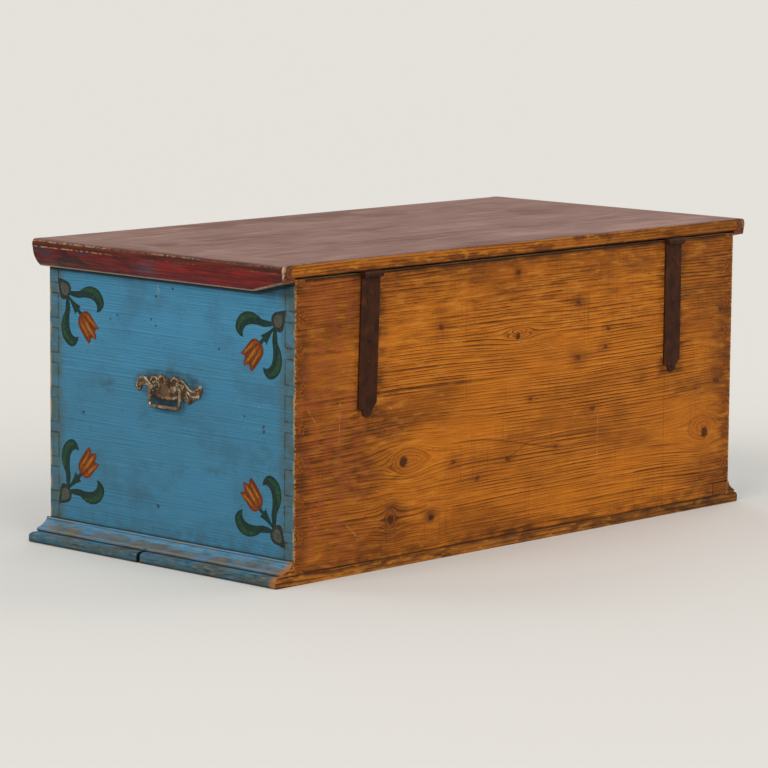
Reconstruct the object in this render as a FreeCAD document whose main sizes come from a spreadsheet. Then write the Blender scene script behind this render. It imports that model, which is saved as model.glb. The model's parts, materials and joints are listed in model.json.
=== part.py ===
import FreeCAD, Part
import math
import os

import Sketcher

# A painted pine dowry trunk: a dovetailed case on a nailed bottom, with a moulded plinth, a lid on two iron
# strap hinges, a bail handle on each end, a box lock and an open till.
# Lengths are millimetres. X runs along the trunk, Y from its front to its back and Z up, from the middle
# of the underside.

SIZES = {
    # Case boards and their dovetails
    "case_length": 1140.0,
    "case_depth": 590.0,
    "board_height": 482.0,
    "side_thickness": 22.0,
    "end_thickness": 22.0,
    "tail_count": 8,
    "pin_width": 18.0,
    "tail_flare": 3.5,
    "joint_clearance": 0.1,
    # Bottom boards and plinth
    "bottom_thickness": 18.0,
    "bottom_back_width": 321.0,
    "bottom_gap": 6.0,
    "bottom_reach_right": 43.0,
    "bottom_reach_left": 29.0,
    "bottom_reach_front": 9.0,
    "nosing_upper": 8.0,
    "nosing_lower": 4.0,
    "plinth_height": 22.0,
    "plinth_depth_right": 26.0,
    "plinth_depth_left": 20.0,
    "plinth_depth_front": 7.0,
    "plinth_foot": 5.0,
    "plinth_lip": 3.0,
    "plinth_bead": 3.0,
    "plinth_hollow": 34.0,
    # Lid boards, clamps and rim
    "lid_gap": 4.0,
    "lid_thickness": 21.0,
    "lid_back_width": 310.0,
    "lid_back_reach": 1.0,
    "lid_seam": 0.4,
    "lid_edge_round": 3.0,
    "clamp_width": 50.0,
    "clamp_reach": 9.0,
    "tongue_length": 14.0,
    "tongue_thickness": 7.0,
    "rim_width": 23.0,
    "rim_drop": 27.0,
    "rim_clearance": 1.5,
    "rim_band": 14.0,
    "rim_round": 8.0,
    "rim_quirk": 1.0,
    "rim_foot": 11.0,
    "rim_swell": 44.0,
    "rim_front": 7.5,
    "rim_cut_length": 84.0,
    "rim_cut_height": 20.0,
    # Strap hinges
    "hinge_inset": 175.0,
    "hinge_drop": 2.5,
    "knuckle_radius": 5.6,
    "knuckle_standoff": 0.3,
    "knuckle_gap": 0.4,
    "knuckle_relief": 0.6,
    "hinge_pin_radius": 2.5,
    "running_clearance": 0.06,
    "strap_width": 44.0,
    "strap_thickness": 3.0,
    "strap_length": 221.5,
    "strap_shoulder": 2.0,
    "strap_slope": 8.0,
    "strap_lean": 7.0,
    "tongue_tip_width": 22.0,
    "tongue_tip_length": 2.0,
    "leaf_thickness": 3.0,
    "leaf_length": 130.0,
    "pin_overhang": 1.0,
    # Nails
    "nail_radius": 2.0,
    "nail_length": 16.0,
    "nail_head_radius": 4.5,
    "nail_head_height": 1.6,
    "nail_clearance": 0.1,
    "strap_nail_first": 31.5,
    "strap_nail_second": 107.5,
    "strap_nail_third": 146.5,
    "leaf_nail_first": 40.0,
    "leaf_nail_pitch": 36.0,
    "leaf_nail_count": 3,
    "bottom_nail_length": 50.0,
    "bottom_nail_inset": 60.0,
    "bottom_nail_count": 6,
    "end_nail_spacing": 260.0,
    # End handles
    "handle_height": 297.0,
    "plate_half_body": 38.0,
    "plate_half_width": 77.0,
    "plate_top": 21.0,
    "plate_bottom": 29.0,
    "plate_waist": 9.0,
    "plate_wing_drop": 4.0,
    "plate_scoop": 28.0,
    "plate_thickness": 2.5,
    "post_spacing": 56.0,
    "post_radius": 4.6,
    "post_length": 14.5,
    "post_shank_radius": 3.0,
    "rove_radius": 8.0,
    "rove_thickness": 2.0,
    "bail_standoff": 9.0,
    "bail_width": 73.0,
    "bail_drop": 33.5,
    "bail_rod_radius": 3.0,
    "bail_bend": 7.0,
    "bail_elbow": 3.4,
    "bail_end_reach": 8.0,
    "handle_nail_inset": 9.0,
    "handle_nail_radius": 1.4,
    "handle_nail_head": 3.2,
    # Lock
    "lock_width": 92.0,
    "lock_depth": 24.0,
    "lock_below_rim": 2.0,
    "lock_below_key": 26.0,
    "bolt_length": 34.0,
    "bolt_width": 6.0,
    "bolt_height": 10.0,
    "bolt_depth_below_top": 12.0,
    "bolt_clearance": 0.3,
    "bolt_travel": 16.0,
    "bolt_retreat": 1.0,
    "staple_thickness": 6.0,
    "staple_wall": 3.0,
    "staple_foot": 4.0,
    "staple_clearance": 1.5,
    "staple_plate_length": 60.0,
    "staple_plate_width": 20.0,
    "staple_plate_thickness": 2.0,
    "lock_screw_radius": 1.8,
    "lock_screw_length": 14.0,
    "lock_screw_inset": 7.0,
    "key_slot_width": 6.0,
    "key_slot_height": 18.0,
    "key_chamber_width": 16.0,
    "key_chamber_drop": 12.0,
    "key_chamber_depth": 18.0,
    "escutcheon_width": 44.0,
    "escutcheon_height": 64.0,
    "escutcheon_thickness": 1.5,
    "escutcheon_round": 20.0,
    "escutcheon_gap": 5.0,
    "escutcheon_pin_inset": 6.0,
    "escutcheon_pin_radius": 1.0,
    "escutcheon_pin_length": 8.0,
    "escutcheon_pin_head": 2.0,
    # Till
    "till_width": 150.0,
    "till_height": 110.0,
    "till_below_rim": 12.0,
    "till_board": 12.0,
    "till_housing": 6.0,
}

document = FreeCAD.newDocument("Trunk")


class Size:
    """A length with the sheet expression that drives it."""

    def __init__(self, value, text=None):
        self.value = float(value)
        self.text = text or repr(float(value))

    def joined(self, other, sign, value):
        return Size(value, f"({self.text} {sign} {other.text})")

    def __add__(self, other):
        other = size_of(other)
        return self.joined(other, "+", self.value + other.value)

    def __sub__(self, other):
        other = size_of(other)
        return self.joined(other, "-", self.value - other.value)

    def __mul__(self, other):
        other = size_of(other)
        return self.joined(other, "*", self.value * other.value)

    def __truediv__(self, other):
        other = size_of(other)
        return self.joined(other, "/", self.value / other.value)

    def __neg__(self):
        return size_of(0.0) - self


class Sheet:
    """The driving dimensions by name, backed by the document's spreadsheet."""

    def __init__(self, values):
        self.cells = document.addObject("Spreadsheet::Sheet", "Sizes")
        for row, (name, value) in enumerate(values.items(), start=1):
            self.cells.set(f"A{row}", name)
            self.cells.set(f"B{row}", str(value))
            self.cells.setAlias(f"B{row}", name)
            setattr(self, name, Size(value, f"Sizes.{name}"))
        document.recompute()


def size_of(item):
    return item if isinstance(item, Size) else Size(item)


def bind(item, name, size):
    """Let one property of an object follow the sheet."""
    item.setExpression(name, size_of(size).text)


def place(item, x=0, y=0, z=0):
    for axis, size in zip("xyz", (x, y, z)):
        bind(item, f"Placement.Base.{axis}", size)


X_AXIS = FreeCAD.Vector(1, 0, 0)
Y_AXIS = FreeCAD.Vector(0, 1, 0)
Z_AXIS = FreeCAD.Vector(0, 0, 1)


def aim(item, direction):
    """Turn an object's own Z axis to a direction."""
    item.Placement = FreeCAD.Placement(FreeCAD.Vector(), FreeCAD.Rotation(Z_AXIS, direction))


size = Sheet(SIZES)
half_length = size.case_length / 2
half_depth = size.case_depth / 2
rim_height = size.bottom_thickness + size.board_height
lid_under = rim_height + size.lid_gap
lid_top = lid_under + size.lid_thickness
lid_back = half_depth + size.lid_back_reach
lid_front = half_depth + size.rim_clearance
lid_half_length = half_length + size.clamp_reach
tail_pitch = size.board_height / size.tail_count
inner_half_length = half_length - size.end_thickness
inner_half_depth = half_depth - size.side_thickness
hinge_x = half_length - size.hinge_inset
hinge_y = half_depth + size.knuckle_radius + size.knuckle_standoff
hinge_z = rim_height - size.hinge_drop
RIGHT = 1
LEFT = -1
OVERSIZE = 4  # takes a cutter well past the stock it cuts
KNUCKLES = 3
SIDE_NAMES = {RIGHT: "right", LEFT: "left"}
sub_parts = []


def keep(item, label):
    """Name a finished sub-part."""
    item.Label = label
    sub_parts.append(item)
    return item


# Sketches and features


def origin_feature(body, role):
    for feature in body.Origin.OriginFeatures:
        if feature.Role == role:
            return feature
    raise ValueError(f"{body.Name} has no {role}")


def new_sketch(body, plane, name, shift=0):
    """Sketch on one of the body's origin planes, moved along the plane's normal by shift."""
    sketch = body.newObject("Sketcher::SketchObject", name)
    sketch.AttachmentSupport = [(origin_feature(body, plane), "")]
    sketch.MapMode = "FlatFace"
    bind(sketch, "AttachmentOffset.Base.z", shift)
    return sketch


def fix(sketch, kind, size_value, *where):
    """Dimension that follows the sheet."""
    size_value = size_of(size_value)
    index = sketch.addConstraint(Sketcher.Constraint(kind, *where, size_value.value))
    name = f"size_{index}"
    sketch.renameConstraint(index, name)
    bind(sketch, f"Constraints.{name}", size_value)


def arc_between(start, end, radius):
    """Short arc from start to end: a positive radius turns left, a negative one turns right."""
    chord = end - start
    middle = (start + end) * 0.5
    left = FreeCAD.Vector(-chord.y, chord.x, 0).normalize()
    rise = math.sqrt(max(radius * radius - chord.Length ** 2 / 4, 0.0))
    centre = middle + left * math.copysign(rise, radius)
    first, last = (start, end) if radius > 0 else (end, start)
    circle = Part.Circle(centre, Z_AXIS, abs(radius))
    return Part.ArcOfCircle(circle, circle.parameter(first), circle.parameter(last))


def draw(sketch, corners, closed=True):
    """Outline through corners (across, up); a third value is the radius of the arc that ends there."""
    corners = [tuple(size_of(item) for item in corner) for corner in corners]
    points = [FreeCAD.Vector(corner[0].value, corner[1].value, 0) for corner in corners]
    count = len(corners)
    ends = []
    for index in range(count if closed else count - 1):
        after = (index + 1) % count
        if len(corners[after]) == 2:
            line = sketch.addGeometry(Part.LineSegment(points[index], points[after]))
            ends.append((line, 1, 2))
            continue
        radius = corners[after][2]
        arc = sketch.addGeometry(arc_between(points[index], points[after], radius.value))
        ends.append((arc, 1, 2) if radius.value > 0 else (arc, 2, 1))
        fix(sketch, "Radius", radius if radius.value > 0 else -radius, arc)
    for index, (edge, begin, end) in enumerate(ends):
        fix(sketch, "DistanceX", corners[index][0], edge, begin)
        fix(sketch, "DistanceY", corners[index][1], edge, begin)
        if index + 1 < len(ends) or closed:
            following = ends[(index + 1) % len(ends)]
            sketch.addConstraint(Sketcher.Constraint("Coincident", edge, end, following[0], following[1]))
    if not closed:
        edge, begin, end = ends[-1]
        fix(sketch, "DistanceX", corners[-1][0], edge, end)
        fix(sketch, "DistanceY", corners[-1][1], edge, end)
    return sketch


def draw_circle(sketch, across, up, radius):
    across, up, radius = size_of(across), size_of(up), size_of(radius)
    centre = FreeCAD.Vector(across.value, up.value, 0)
    circle = sketch.addGeometry(Part.Circle(centre, Z_AXIS, radius.value))
    fix(sketch, "Radius", radius, circle)
    fix(sketch, "DistanceX", across, circle, 3)
    fix(sketch, "DistanceY", up, circle, 3)
    return sketch


def pad(body, sketch, name, length, symmetric=True, backwards=False):
    feature = body.newObject("PartDesign::Pad", name)
    feature.Profile = sketch
    feature.SideType = "Symmetric" if symmetric else "One side"
    feature.Reversed = backwards
    bind(feature, "Length", length)
    document.recompute()
    return feature


def pocket(body, sketch, name, length, symmetric=True, backwards=False):
    """Cut that has to take something away."""
    before = body.Shape.Volume
    feature = body.newObject("PartDesign::Pocket", name)
    feature.Profile = sketch
    feature.SideType = "Symmetric" if symmetric else "One side"
    feature.Reversed = backwards
    bind(feature, "Length", length)
    document.recompute()
    if body.Shape.Volume >= before:
        raise ValueError(f"{name} cuts nothing from {body.Name}")
    return feature


def repeat(body, feature, name, axis, length, count):
    """Row of copies of one feature along an axis of the body."""
    pattern = body.newObject("PartDesign::LinearPattern", name)
    pattern.Originals = [feature]
    pattern.Direction = (origin_feature(body, axis), [""])
    bind(pattern, "Length", length)
    bind(pattern, "Occurrences", count)
    body.Tip = pattern
    document.recompute()
    return pattern


def new_body(label):
    return keep(document.addObject("PartDesign::Body", label), label)


def box(name, x, y, z, length, width, height):
    item = document.addObject("Part::Box", name)
    bind(item, "Length", length)
    bind(item, "Width", width)
    bind(item, "Height", height)
    place(item, x, y, z)
    return item


def cylinder(name, direction, x, y, z, radius, height):
    """Round bar from a point along a direction."""
    item = document.addObject("Part::Cylinder", name)
    aim(item, direction)
    bind(item, "Radius", radius)
    bind(item, "Height", height)
    place(item, x, y, z)
    return item


def fuse(name, *shapes):
    item = document.addObject("Part::MultiFuse", name)
    item.Shapes = list(shapes)
    return item


def cut(name, base, *tools):
    item = document.addObject("Part::Cut", name)
    item.Base = base
    item.Tool = tools[0] if len(tools) == 1 else fuse(f"{name}_tools", *tools)
    return item


def group(label, members):
    item = document.addObject("Part::Compound", label)
    item.Links = members
    return keep(item, label)


def nail(name, direction, x, y, z, radius, length, head_radius, head_height):
    """Nail whose head sits on the point (x, y, z) and whose shank runs along the direction."""
    shank = cylinder(f"{name}_shank", direction, x, y, z, radius, length)
    head = document.addObject("Part::Cone", f"{name}_head")
    aim(head, -direction)
    bind(head, "Radius1", head_radius)
    bind(head, "Radius2", head_radius / 2)
    bind(head, "Height", head_height)
    place(head, x, y, z)
    return fuse(name, shank, head)


# Case


def tail_outline(side):
    """Lowest tail at one end of a long board."""
    centre = size.bottom_thickness + tail_pitch / 2
    wide = (tail_pitch - size.pin_width) / 2
    narrow = wide - size.tail_flare
    root = inner_half_length * side
    tip = half_length * side
    return [(root, centre - narrow), (tip, centre - wide), (tip, centre + wide), (root, centre + narrow)]


def long_board(label, middle_y):
    """Front or back of the case: a plank with a row of tails at each end."""
    body = new_body(label)
    place(body, y=middle_y)
    plank = draw(new_sketch(body, "XZ_Plane", f"{label}_outline"), [
        (-inner_half_length, size.bottom_thickness),
        (inner_half_length, size.bottom_thickness),
        (inner_half_length, rim_height),
        (-inner_half_length, rim_height),
    ])
    pad(body, plank, f"{label}_plank", size.side_thickness)
    ends = new_sketch(body, "XZ_Plane", f"{label}_tail_outline")
    for side in (RIGHT, LEFT):
        draw(ends, tail_outline(side))
    tail = pad(body, ends, f"{label}_tail", size.side_thickness)
    repeat(body, tail, f"{label}_tails", "Z_Axis", tail_pitch * (size.tail_count - 1), size.tail_count)
    return body


def cut_till_housing(body, face_offset, backwards):
    """L-shaped housing for the till's side and bottom in a long board's inner face."""
    near = -inner_half_length
    wall = near + size.till_width
    far = wall + size.till_board + size.joint_clearance
    top = rim_height - size.till_below_rim + size.joint_clearance
    floor = rim_height - size.till_below_rim - size.till_height - size.joint_clearance
    shelf = floor + size.till_board + size.joint_clearance * 2
    sketch = draw(new_sketch(body, "XZ_Plane", f"{body.Name}_housing_outline", face_offset), [
        (near, floor), (far, floor), (far, top), (wall - size.joint_clearance, top),
        (wall - size.joint_clearance, shelf), (near, shelf),
    ])
    pocket(body, sketch, f"{body.Name}_housing", size.till_housing, symmetric=False, backwards=backwards)


def draw_key_slot(sketch, height):
    """Upright slot with round ends, around the key's height."""
    round_end = size.key_slot_width / 2
    low = height - size.key_slot_height / 2 + round_end
    high = height + size.key_slot_height / 2 - round_end
    return draw(sketch, [
        (round_end, low, round_end), (round_end, high), (0, high + round_end, round_end),
        (-round_end, high, round_end), (-round_end, low), (0, low - round_end, round_end),
    ])


def end_board(side):
    """End of the case: a plank whose pins stand out at its front and back."""
    label = f"end_panel_{SIDE_NAMES[side]}"
    body = new_body(label)
    place(body)
    inner = inner_half_length * side
    outer = half_length * side
    low = size.bottom_thickness
    plank = draw(new_sketch(body, "XZ_Plane", f"{label}_outline"), [
        (inner, low), (outer, low), (outer, rim_height), (inner, rim_height),
    ])
    pad(body, plank, f"{label}_plank", inner_half_depth * 2)
    narrow = size.pin_width / 2 - size.joint_clearance
    wide = narrow + size.tail_flare
    centre = low + tail_pitch
    pin_sketch = draw(new_sketch(body, "XZ_Plane", f"{label}_pin_outline"), [
        (inner, centre - wide), (outer, centre - narrow), (outer, centre + narrow), (inner, centre + wide),
    ])
    pin = pad(body, pin_sketch, f"{label}_pin", size.case_depth)
    repeat(body, pin, f"{label}_pins", "Z_Axis", tail_pitch * (size.tail_count - 2), size.tail_count - 1)
    half_pins = new_sketch(body, "XZ_Plane", f"{label}_half_pin_outline")
    draw(half_pins, [(inner, low), (outer, low), (outer, low + narrow), (inner, low + wide)])
    draw(half_pins, [(inner, rim_height), (outer, rim_height), (outer, rim_height - narrow),
                     (inner, rim_height - wide)])
    body.Tip = pad(body, half_pins, f"{label}_half_pins", size.case_depth)
    return body


def bottom_board(label, front_y, back_y):
    """Bottom board along the trunk, with rounded ends that stand out beyond the case."""
    body = new_body(label)
    place(body, y=(front_y + back_y) / 2)
    left = -(half_length + size.bottom_reach_left)
    right = half_length + size.bottom_reach_right
    top = size.bottom_thickness
    upper = size.nosing_upper
    lower = size.nosing_lower
    section = draw(new_sketch(body, "XZ_Plane", f"{label}_section"), [
        (left + lower, 0, lower), (right - lower, 0), (right, lower, lower), (right, top - upper),
        (right - upper, top, upper), (left + upper, top), (left, top - upper, upper), (left, lower),
    ])
    pad(body, section, f"{label}_plank", back_y - front_y)
    return body


def round_front_edge(body, half_width):
    """Nosing along the front of the bottom."""
    front = -half_width
    top = size.bottom_thickness
    upper = size.nosing_upper
    waste = draw(new_sketch(body, "YZ_Plane", f"{body.Name}_nosing_outline"), [
        (front, top), (front, top - upper), (front + upper, top, -upper),
    ])
    pocket(body, waste, f"{body.Name}_nosing", size.case_length * OVERSIZE)


def bottom_boards():
    seam = half_depth - size.bottom_back_width
    front = -(half_depth + size.bottom_reach_front)
    front_board = bottom_board("bottom_board_front", front, seam - size.bottom_gap)
    round_front_edge(front_board, (seam - size.bottom_gap - front) / 2)
    bottom_board("bottom_board_back", seam, half_depth)


def plinth_section(depth):
    """Hollow slope from a square foot up to a small bead; the first value is the distance from the case."""
    low = size.bottom_thickness
    top = low + size.plinth_height
    return [
        (size_of(0), low), (depth, low), (depth, low + size.plinth_foot),
        (size.plinth_lip, top - size.plinth_bead, -size.plinth_hollow), (size.plinth_lip, top),
        (size_of(0), top),
    ]


def outward(corners, base, side):
    """Corners given as distances beyond a base line, on one side of the trunk."""
    return [((base + corner[0]) * side, corner[1], *(radius * side for radius in corner[2:]))
            for corner in corners]


def plinth_mouldings():
    front = half_depth + size.plinth_depth_front
    for side, depth in ((RIGHT, size.plinth_depth_right), (LEFT, size.plinth_depth_left)):
        label = f"plinth_moulding_{SIDE_NAMES[side]}"
        body = new_body(label)
        place(body, y=(half_depth - front) / 2)
        section = draw(new_sketch(body, "XZ_Plane", f"{label}_section"),
                       outward(plinth_section(depth), half_length, side))
        pad(body, section, f"{label}_strip", half_depth + front)
    body = new_body("plinth_moulding_front")
    place(body)
    section = draw(new_sketch(body, "YZ_Plane", "plinth_moulding_front_section"), [
        (-(half_depth + size.plinth_depth_front), size.bottom_thickness),
        (-half_depth, size.bottom_thickness),
        (-half_depth, size.bottom_thickness + size.plinth_height),
        (-(half_depth + size.plinth_lip), size.bottom_thickness + size.plinth_height),
        (-(half_depth + size.plinth_lip), size.bottom_thickness + size.plinth_height - size.plinth_bead),
        (-(half_depth + size.plinth_depth_front), size.bottom_thickness + size.plinth_foot),
    ])
    pad(body, section, "plinth_moulding_front_strip", size.case_length)


def case_boards():
    front = long_board("front_panel", -(half_depth - size.side_thickness / 2))
    back = long_board("back_panel", half_depth - size.side_thickness / 2)
    cut_till_housing(front, -(size.side_thickness / 2), backwards=True)
    cut_till_housing(back, size.side_thickness / 2, backwards=False)
    slot = draw_key_slot(new_sketch(front, "XZ_Plane", "front_panel_key_outline"), key_height)
    pocket(front, slot, "front_panel_key_slot", size.side_thickness * OVERSIZE)
    for side in (RIGHT, LEFT):
        end_board(side)


# Lid


def lid_board(label, front_y, back_y, rounded):
    """Long lid board with a tongue at each end."""
    body = new_body(label)
    place(body)
    edge = size.lid_edge_round
    corners = [(front_y, lid_under), (back_y, lid_under), (back_y, lid_top), (front_y, lid_top)]
    if rounded:
        corners[2:3] = [(back_y, lid_top - edge), (back_y - edge, lid_top, edge)]
    half_board = lid_half_length - size.clamp_width
    section = draw(new_sketch(body, "YZ_Plane", f"{label}_section"), corners)
    pad(body, section, f"{label}_plank", half_board * 2)
    low = lid_under + (size.lid_thickness - size.tongue_thickness) / 2
    high = low + size.tongue_thickness
    tongue = draw(new_sketch(body, "YZ_Plane", f"{label}_tongue_section"), [
        (front_y, low), (back_y, low), (back_y, high), (front_y, high),
    ])
    pad(body, tongue, f"{label}_tongue", (half_board + size.tongue_length) * 2)


def lid_clamp(side):
    """Board across an end of the lid, grooved for the tongues of the long boards."""
    label = f"lid_clamp_{SIDE_NAMES[side]}"
    body = new_body(label)
    place(body, y=(lid_back - lid_front) / 2)
    inner = lid_half_length - size.clamp_width
    groove = inner + size.tongue_length + size.joint_clearance
    low = lid_under + (size.lid_thickness - size.tongue_thickness) / 2 - size.joint_clearance
    high = low + size.tongue_thickness + size.joint_clearance * 2
    section = draw(new_sketch(body, "XZ_Plane", f"{label}_section"), [
        (inner * side, lid_under), (lid_half_length * side, lid_under), (lid_half_length * side, lid_top),
        (inner * side, lid_top), (inner * side, high), (groove * side, high), (groove * side, low),
        (inner * side, low),
    ])
    pad(body, section, f"{label}_plank", lid_back + lid_front)
    edge = size.lid_edge_round
    half_width = (lid_back + lid_front) / 2
    waste = draw(new_sketch(body, "YZ_Plane", f"{label}_edge_outline"), [
        (half_width, lid_top - edge, -edge), (half_width, lid_top), (half_width - edge, lid_top),
    ])
    pocket(body, waste, f"{label}_edge", size.case_length * OVERSIZE)


def rim_moulding(side):
    """Rim at an end of the lid: it hangs outside the case, and its back end is cut off slantwise."""
    label = f"lid_moulding_{SIDE_NAMES[side]}"
    body = new_body(label)
    front = lid_front + size.rim_front
    place(body, y=(lid_back - front) / 2)
    outer = size.clamp_reach + size.rim_width
    inner = size.rim_clearance
    foot = lid_under - size.rim_drop
    band = lid_top - size.rim_band
    section = draw(new_sketch(body, "XZ_Plane", f"{label}_section"), outward([
        (inner, foot), (inner + size.rim_foot, foot), (outer - size.rim_quirk, band, size.rim_swell),
        (outer, band), (outer, lid_top - size.rim_round), (outer - size.rim_round, lid_top, size.rim_round),
        (size.clamp_reach, lid_top), (size.clamp_reach, lid_under), (inner, lid_under),
    ], half_length, side))
    pad(body, section, f"{label}_strip", lid_back + front)
    end = (lid_back + front) / 2
    waste = draw(new_sketch(body, "YZ_Plane", f"{label}_cut_outline"), [
        (end - size.rim_cut_length, foot), (end, foot), (end, foot + size.rim_cut_height),
    ])
    pocket(body, waste, f"{label}_cut", size.case_length * OVERSIZE)


def rim_front():
    """Rim strip along the lid's front, between the end rims."""
    label = "lid_moulding_front"
    body = new_body(label)
    place(body)
    inner = -lid_front
    outer = -(lid_front + size.rim_front)
    edge = size.lid_edge_round
    upper = draw(new_sketch(body, "YZ_Plane", f"{label}_upper_section"), [
        (outer, lid_under), (inner, lid_under), (inner, lid_top), (outer + edge, lid_top),
        (outer, lid_top - edge, edge),
    ])
    pad(body, upper, f"{label}_upper", lid_half_length * 2)
    lower = draw(new_sketch(body, "YZ_Plane", f"{label}_lower_section"), [
        (outer, lid_under - size.rim_drop), (inner, lid_under - size.rim_drop), (inner, lid_under),
        (outer, lid_under),
    ])
    pad(body, lower, f"{label}_lower", (half_length + size.rim_clearance) * 2)


def lid_pieces():
    seam = lid_back - size.lid_back_width
    lid_board("lid_board_front", -lid_front, seam - size.lid_seam, rounded=False)
    lid_board("lid_board_back", seam, lid_back, rounded=True)
    for side in (RIGHT, LEFT):
        lid_clamp(side)
        rim_moulding(side)
    rim_front()


# Hinges


knuckle_width = size.strap_width / KNUCKLES
knuckle_half = knuckle_width / 2
knuckle_bore = size.hinge_pin_radius + size.running_clearance
strap_face = size.knuckle_radius + size.knuckle_standoff
strap_tip = size.strap_length + size.strap_shoulder + size.tongue_tip_length


def knuckle(body, name, start, length, symmetric):
    """Rolled barrel around the hinge axis."""
    ring = new_sketch(body, "YZ_Plane", f"{name}_ring", start)
    draw_circle(ring, 0, 0, size.knuckle_radius)
    draw_circle(ring, 0, 0, knuckle_bore)
    return pad(body, ring, name, length, symmetric=symmetric)


def strap_nail_places(lean):
    """Distance across and below the hinge axis of each nail in a strap."""
    drops = [size.strap_nail_first, size.strap_nail_second, size.strap_nail_third, strap_tip]
    return [(lean * drop / size.strap_length, drop) for drop in drops]


def hinge_strap(side, lean):
    """Strap down the back, with two outer knuckles; its foot slopes on one side to a round tongue."""
    label = f"hinge_strap_{SIDE_NAMES[side]}"
    body = new_body(label)
    place(body, hinge_x * side, hinge_y, hinge_z)
    half = size.strap_width / 2
    gap = knuckle_half + size.knuckle_gap
    notch = -(size.knuckle_radius + size.knuckle_relief)
    foot = -size.strap_length
    tongue = size.tongue_tip_width / 2
    neck = -(size.strap_length + size.strap_shoulder)
    outline = draw(new_sketch(body, "XZ_Plane", f"{label}_outline", strap_face), [
        (half, 0), (gap, 0), (gap, notch), (-gap, notch), (-gap, 0), (-half, 0),
        (lean - half, foot + size.strap_slope), (lean - tongue, -strap_tip),
        (lean, -(strap_tip + tongue), tongue), (lean + tongue, -strap_tip, tongue),
        (lean + tongue, neck), (lean + half, foot),
    ])
    pad(body, outline, f"{label}_plate", size.strap_thickness, symmetric=False, backwards=True)
    knuckle(body, f"{label}_knuckle_a", -half, half - gap, symmetric=False)
    body.Tip = knuckle(body, f"{label}_knuckle_b", gap, half - gap, symmetric=False)
    holes = new_sketch(body, "XZ_Plane", f"{label}_hole_outline")
    for across, drop in strap_nail_places(lean):
        draw_circle(holes, across, -drop, size.nail_radius + size.nail_clearance)
    pocket(body, holes, f"{label}_holes", strap_face * OVERSIZE)


def hinge_leaf(side):
    """Lid half of a hinge: the middle knuckle and a plate in the gap below the lid."""
    label = f"hinge_leaf_{SIDE_NAMES[side]}"
    body = new_body(label)
    place(body, hinge_x * side, hinge_y, hinge_z)
    half = size.strap_width / 2
    root = -(size.knuckle_radius + size.knuckle_relief)
    low = lid_under - size.leaf_thickness - hinge_z
    outline = draw(new_sketch(body, "XY_Plane", f"{label}_outline", low), [
        (knuckle_half, 0), (-knuckle_half, 0), (-knuckle_half, root), (-half, root),
        (-half, -size.leaf_length), (half, -size.leaf_length), (half, root), (knuckle_half, root),
    ])
    pad(body, outline, f"{label}_plate", size.leaf_thickness, symmetric=False)
    knuckle(body, f"{label}_knuckle", 0, knuckle_width, symmetric=True)
    holes = new_sketch(body, "XY_Plane", f"{label}_hole_outline", low)
    for index in range(SIZES["leaf_nail_count"]):
        drop = size.leaf_nail_first + size.leaf_nail_pitch * index
        draw_circle(holes, 0, -drop, size.nail_radius + size.nail_clearance)
    pocket(body, holes, f"{label}_holes", size.leaf_thickness * OVERSIZE)


def hinges():
    strap_nails = []
    leaf_nails = []
    tack = (size.nail_radius, size.nail_length, size.nail_head_radius, size.nail_head_height)
    for side, lean in ((RIGHT, size.strap_lean), (LEFT, size_of(0))):
        name = SIDE_NAMES[side]
        hinge_strap(side, lean)
        hinge_leaf(side)
        pin_length = size.strap_width + size.pin_overhang * 2
        pin = cylinder(f"hinge_pin_{name}", X_AXIS, hinge_x * side - pin_length / 2, hinge_y, hinge_z,
                       size.hinge_pin_radius, pin_length)
        keep(pin, f"hinge_pin_{name}")
        outer_face = half_depth + size.strap_thickness
        for index, (across, drop) in enumerate(strap_nail_places(lean)):
            strap_nails.append(nail(f"strap_nail_{name}_{index}", -Y_AXIS,
                                    hinge_x * side + across, outer_face, hinge_z - drop, *tack))
        for index in range(SIZES["leaf_nail_count"]):
            drop = size.leaf_nail_first + size.leaf_nail_pitch * index
            leaf_nails.append(nail(f"leaf_nail_{name}_{index}", Z_AXIS,
                                   hinge_x * side, hinge_y - drop, lid_under - size.leaf_thickness, *tack))
    group("strap_nails", strap_nails)
    group("leaf_nails", leaf_nails)


def bottom_nails():
    """Nails up through the bottom boards into the case, their heads flush with the underside."""
    nails = []
    count = SIZES["bottom_nail_count"]
    first = -(half_length - size.bottom_nail_inset)
    step = (half_length - size.bottom_nail_inset) * 2 / (count - 1)
    spots = []
    for row in (-(half_depth - size.side_thickness / 2), half_depth - size.side_thickness / 2):
        spots += [(first + step * index, row) for index in range(count)]
    for side in (RIGHT, LEFT):
        across = (half_length - size.end_thickness / 2) * side
        spots += [(across, size.end_nail_spacing / 2), (across, -(size.end_nail_spacing / 2))]
    for index, (x, y) in enumerate(spots):
        nails.append(nail(f"bottom_nail_{index}", Z_AXIS, x, y, size.nail_head_height, size.nail_radius,
                          size.bottom_nail_length, size.nail_head_radius, size.nail_head_height))
    group("bottom_nails", nails)


# Handles


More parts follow.
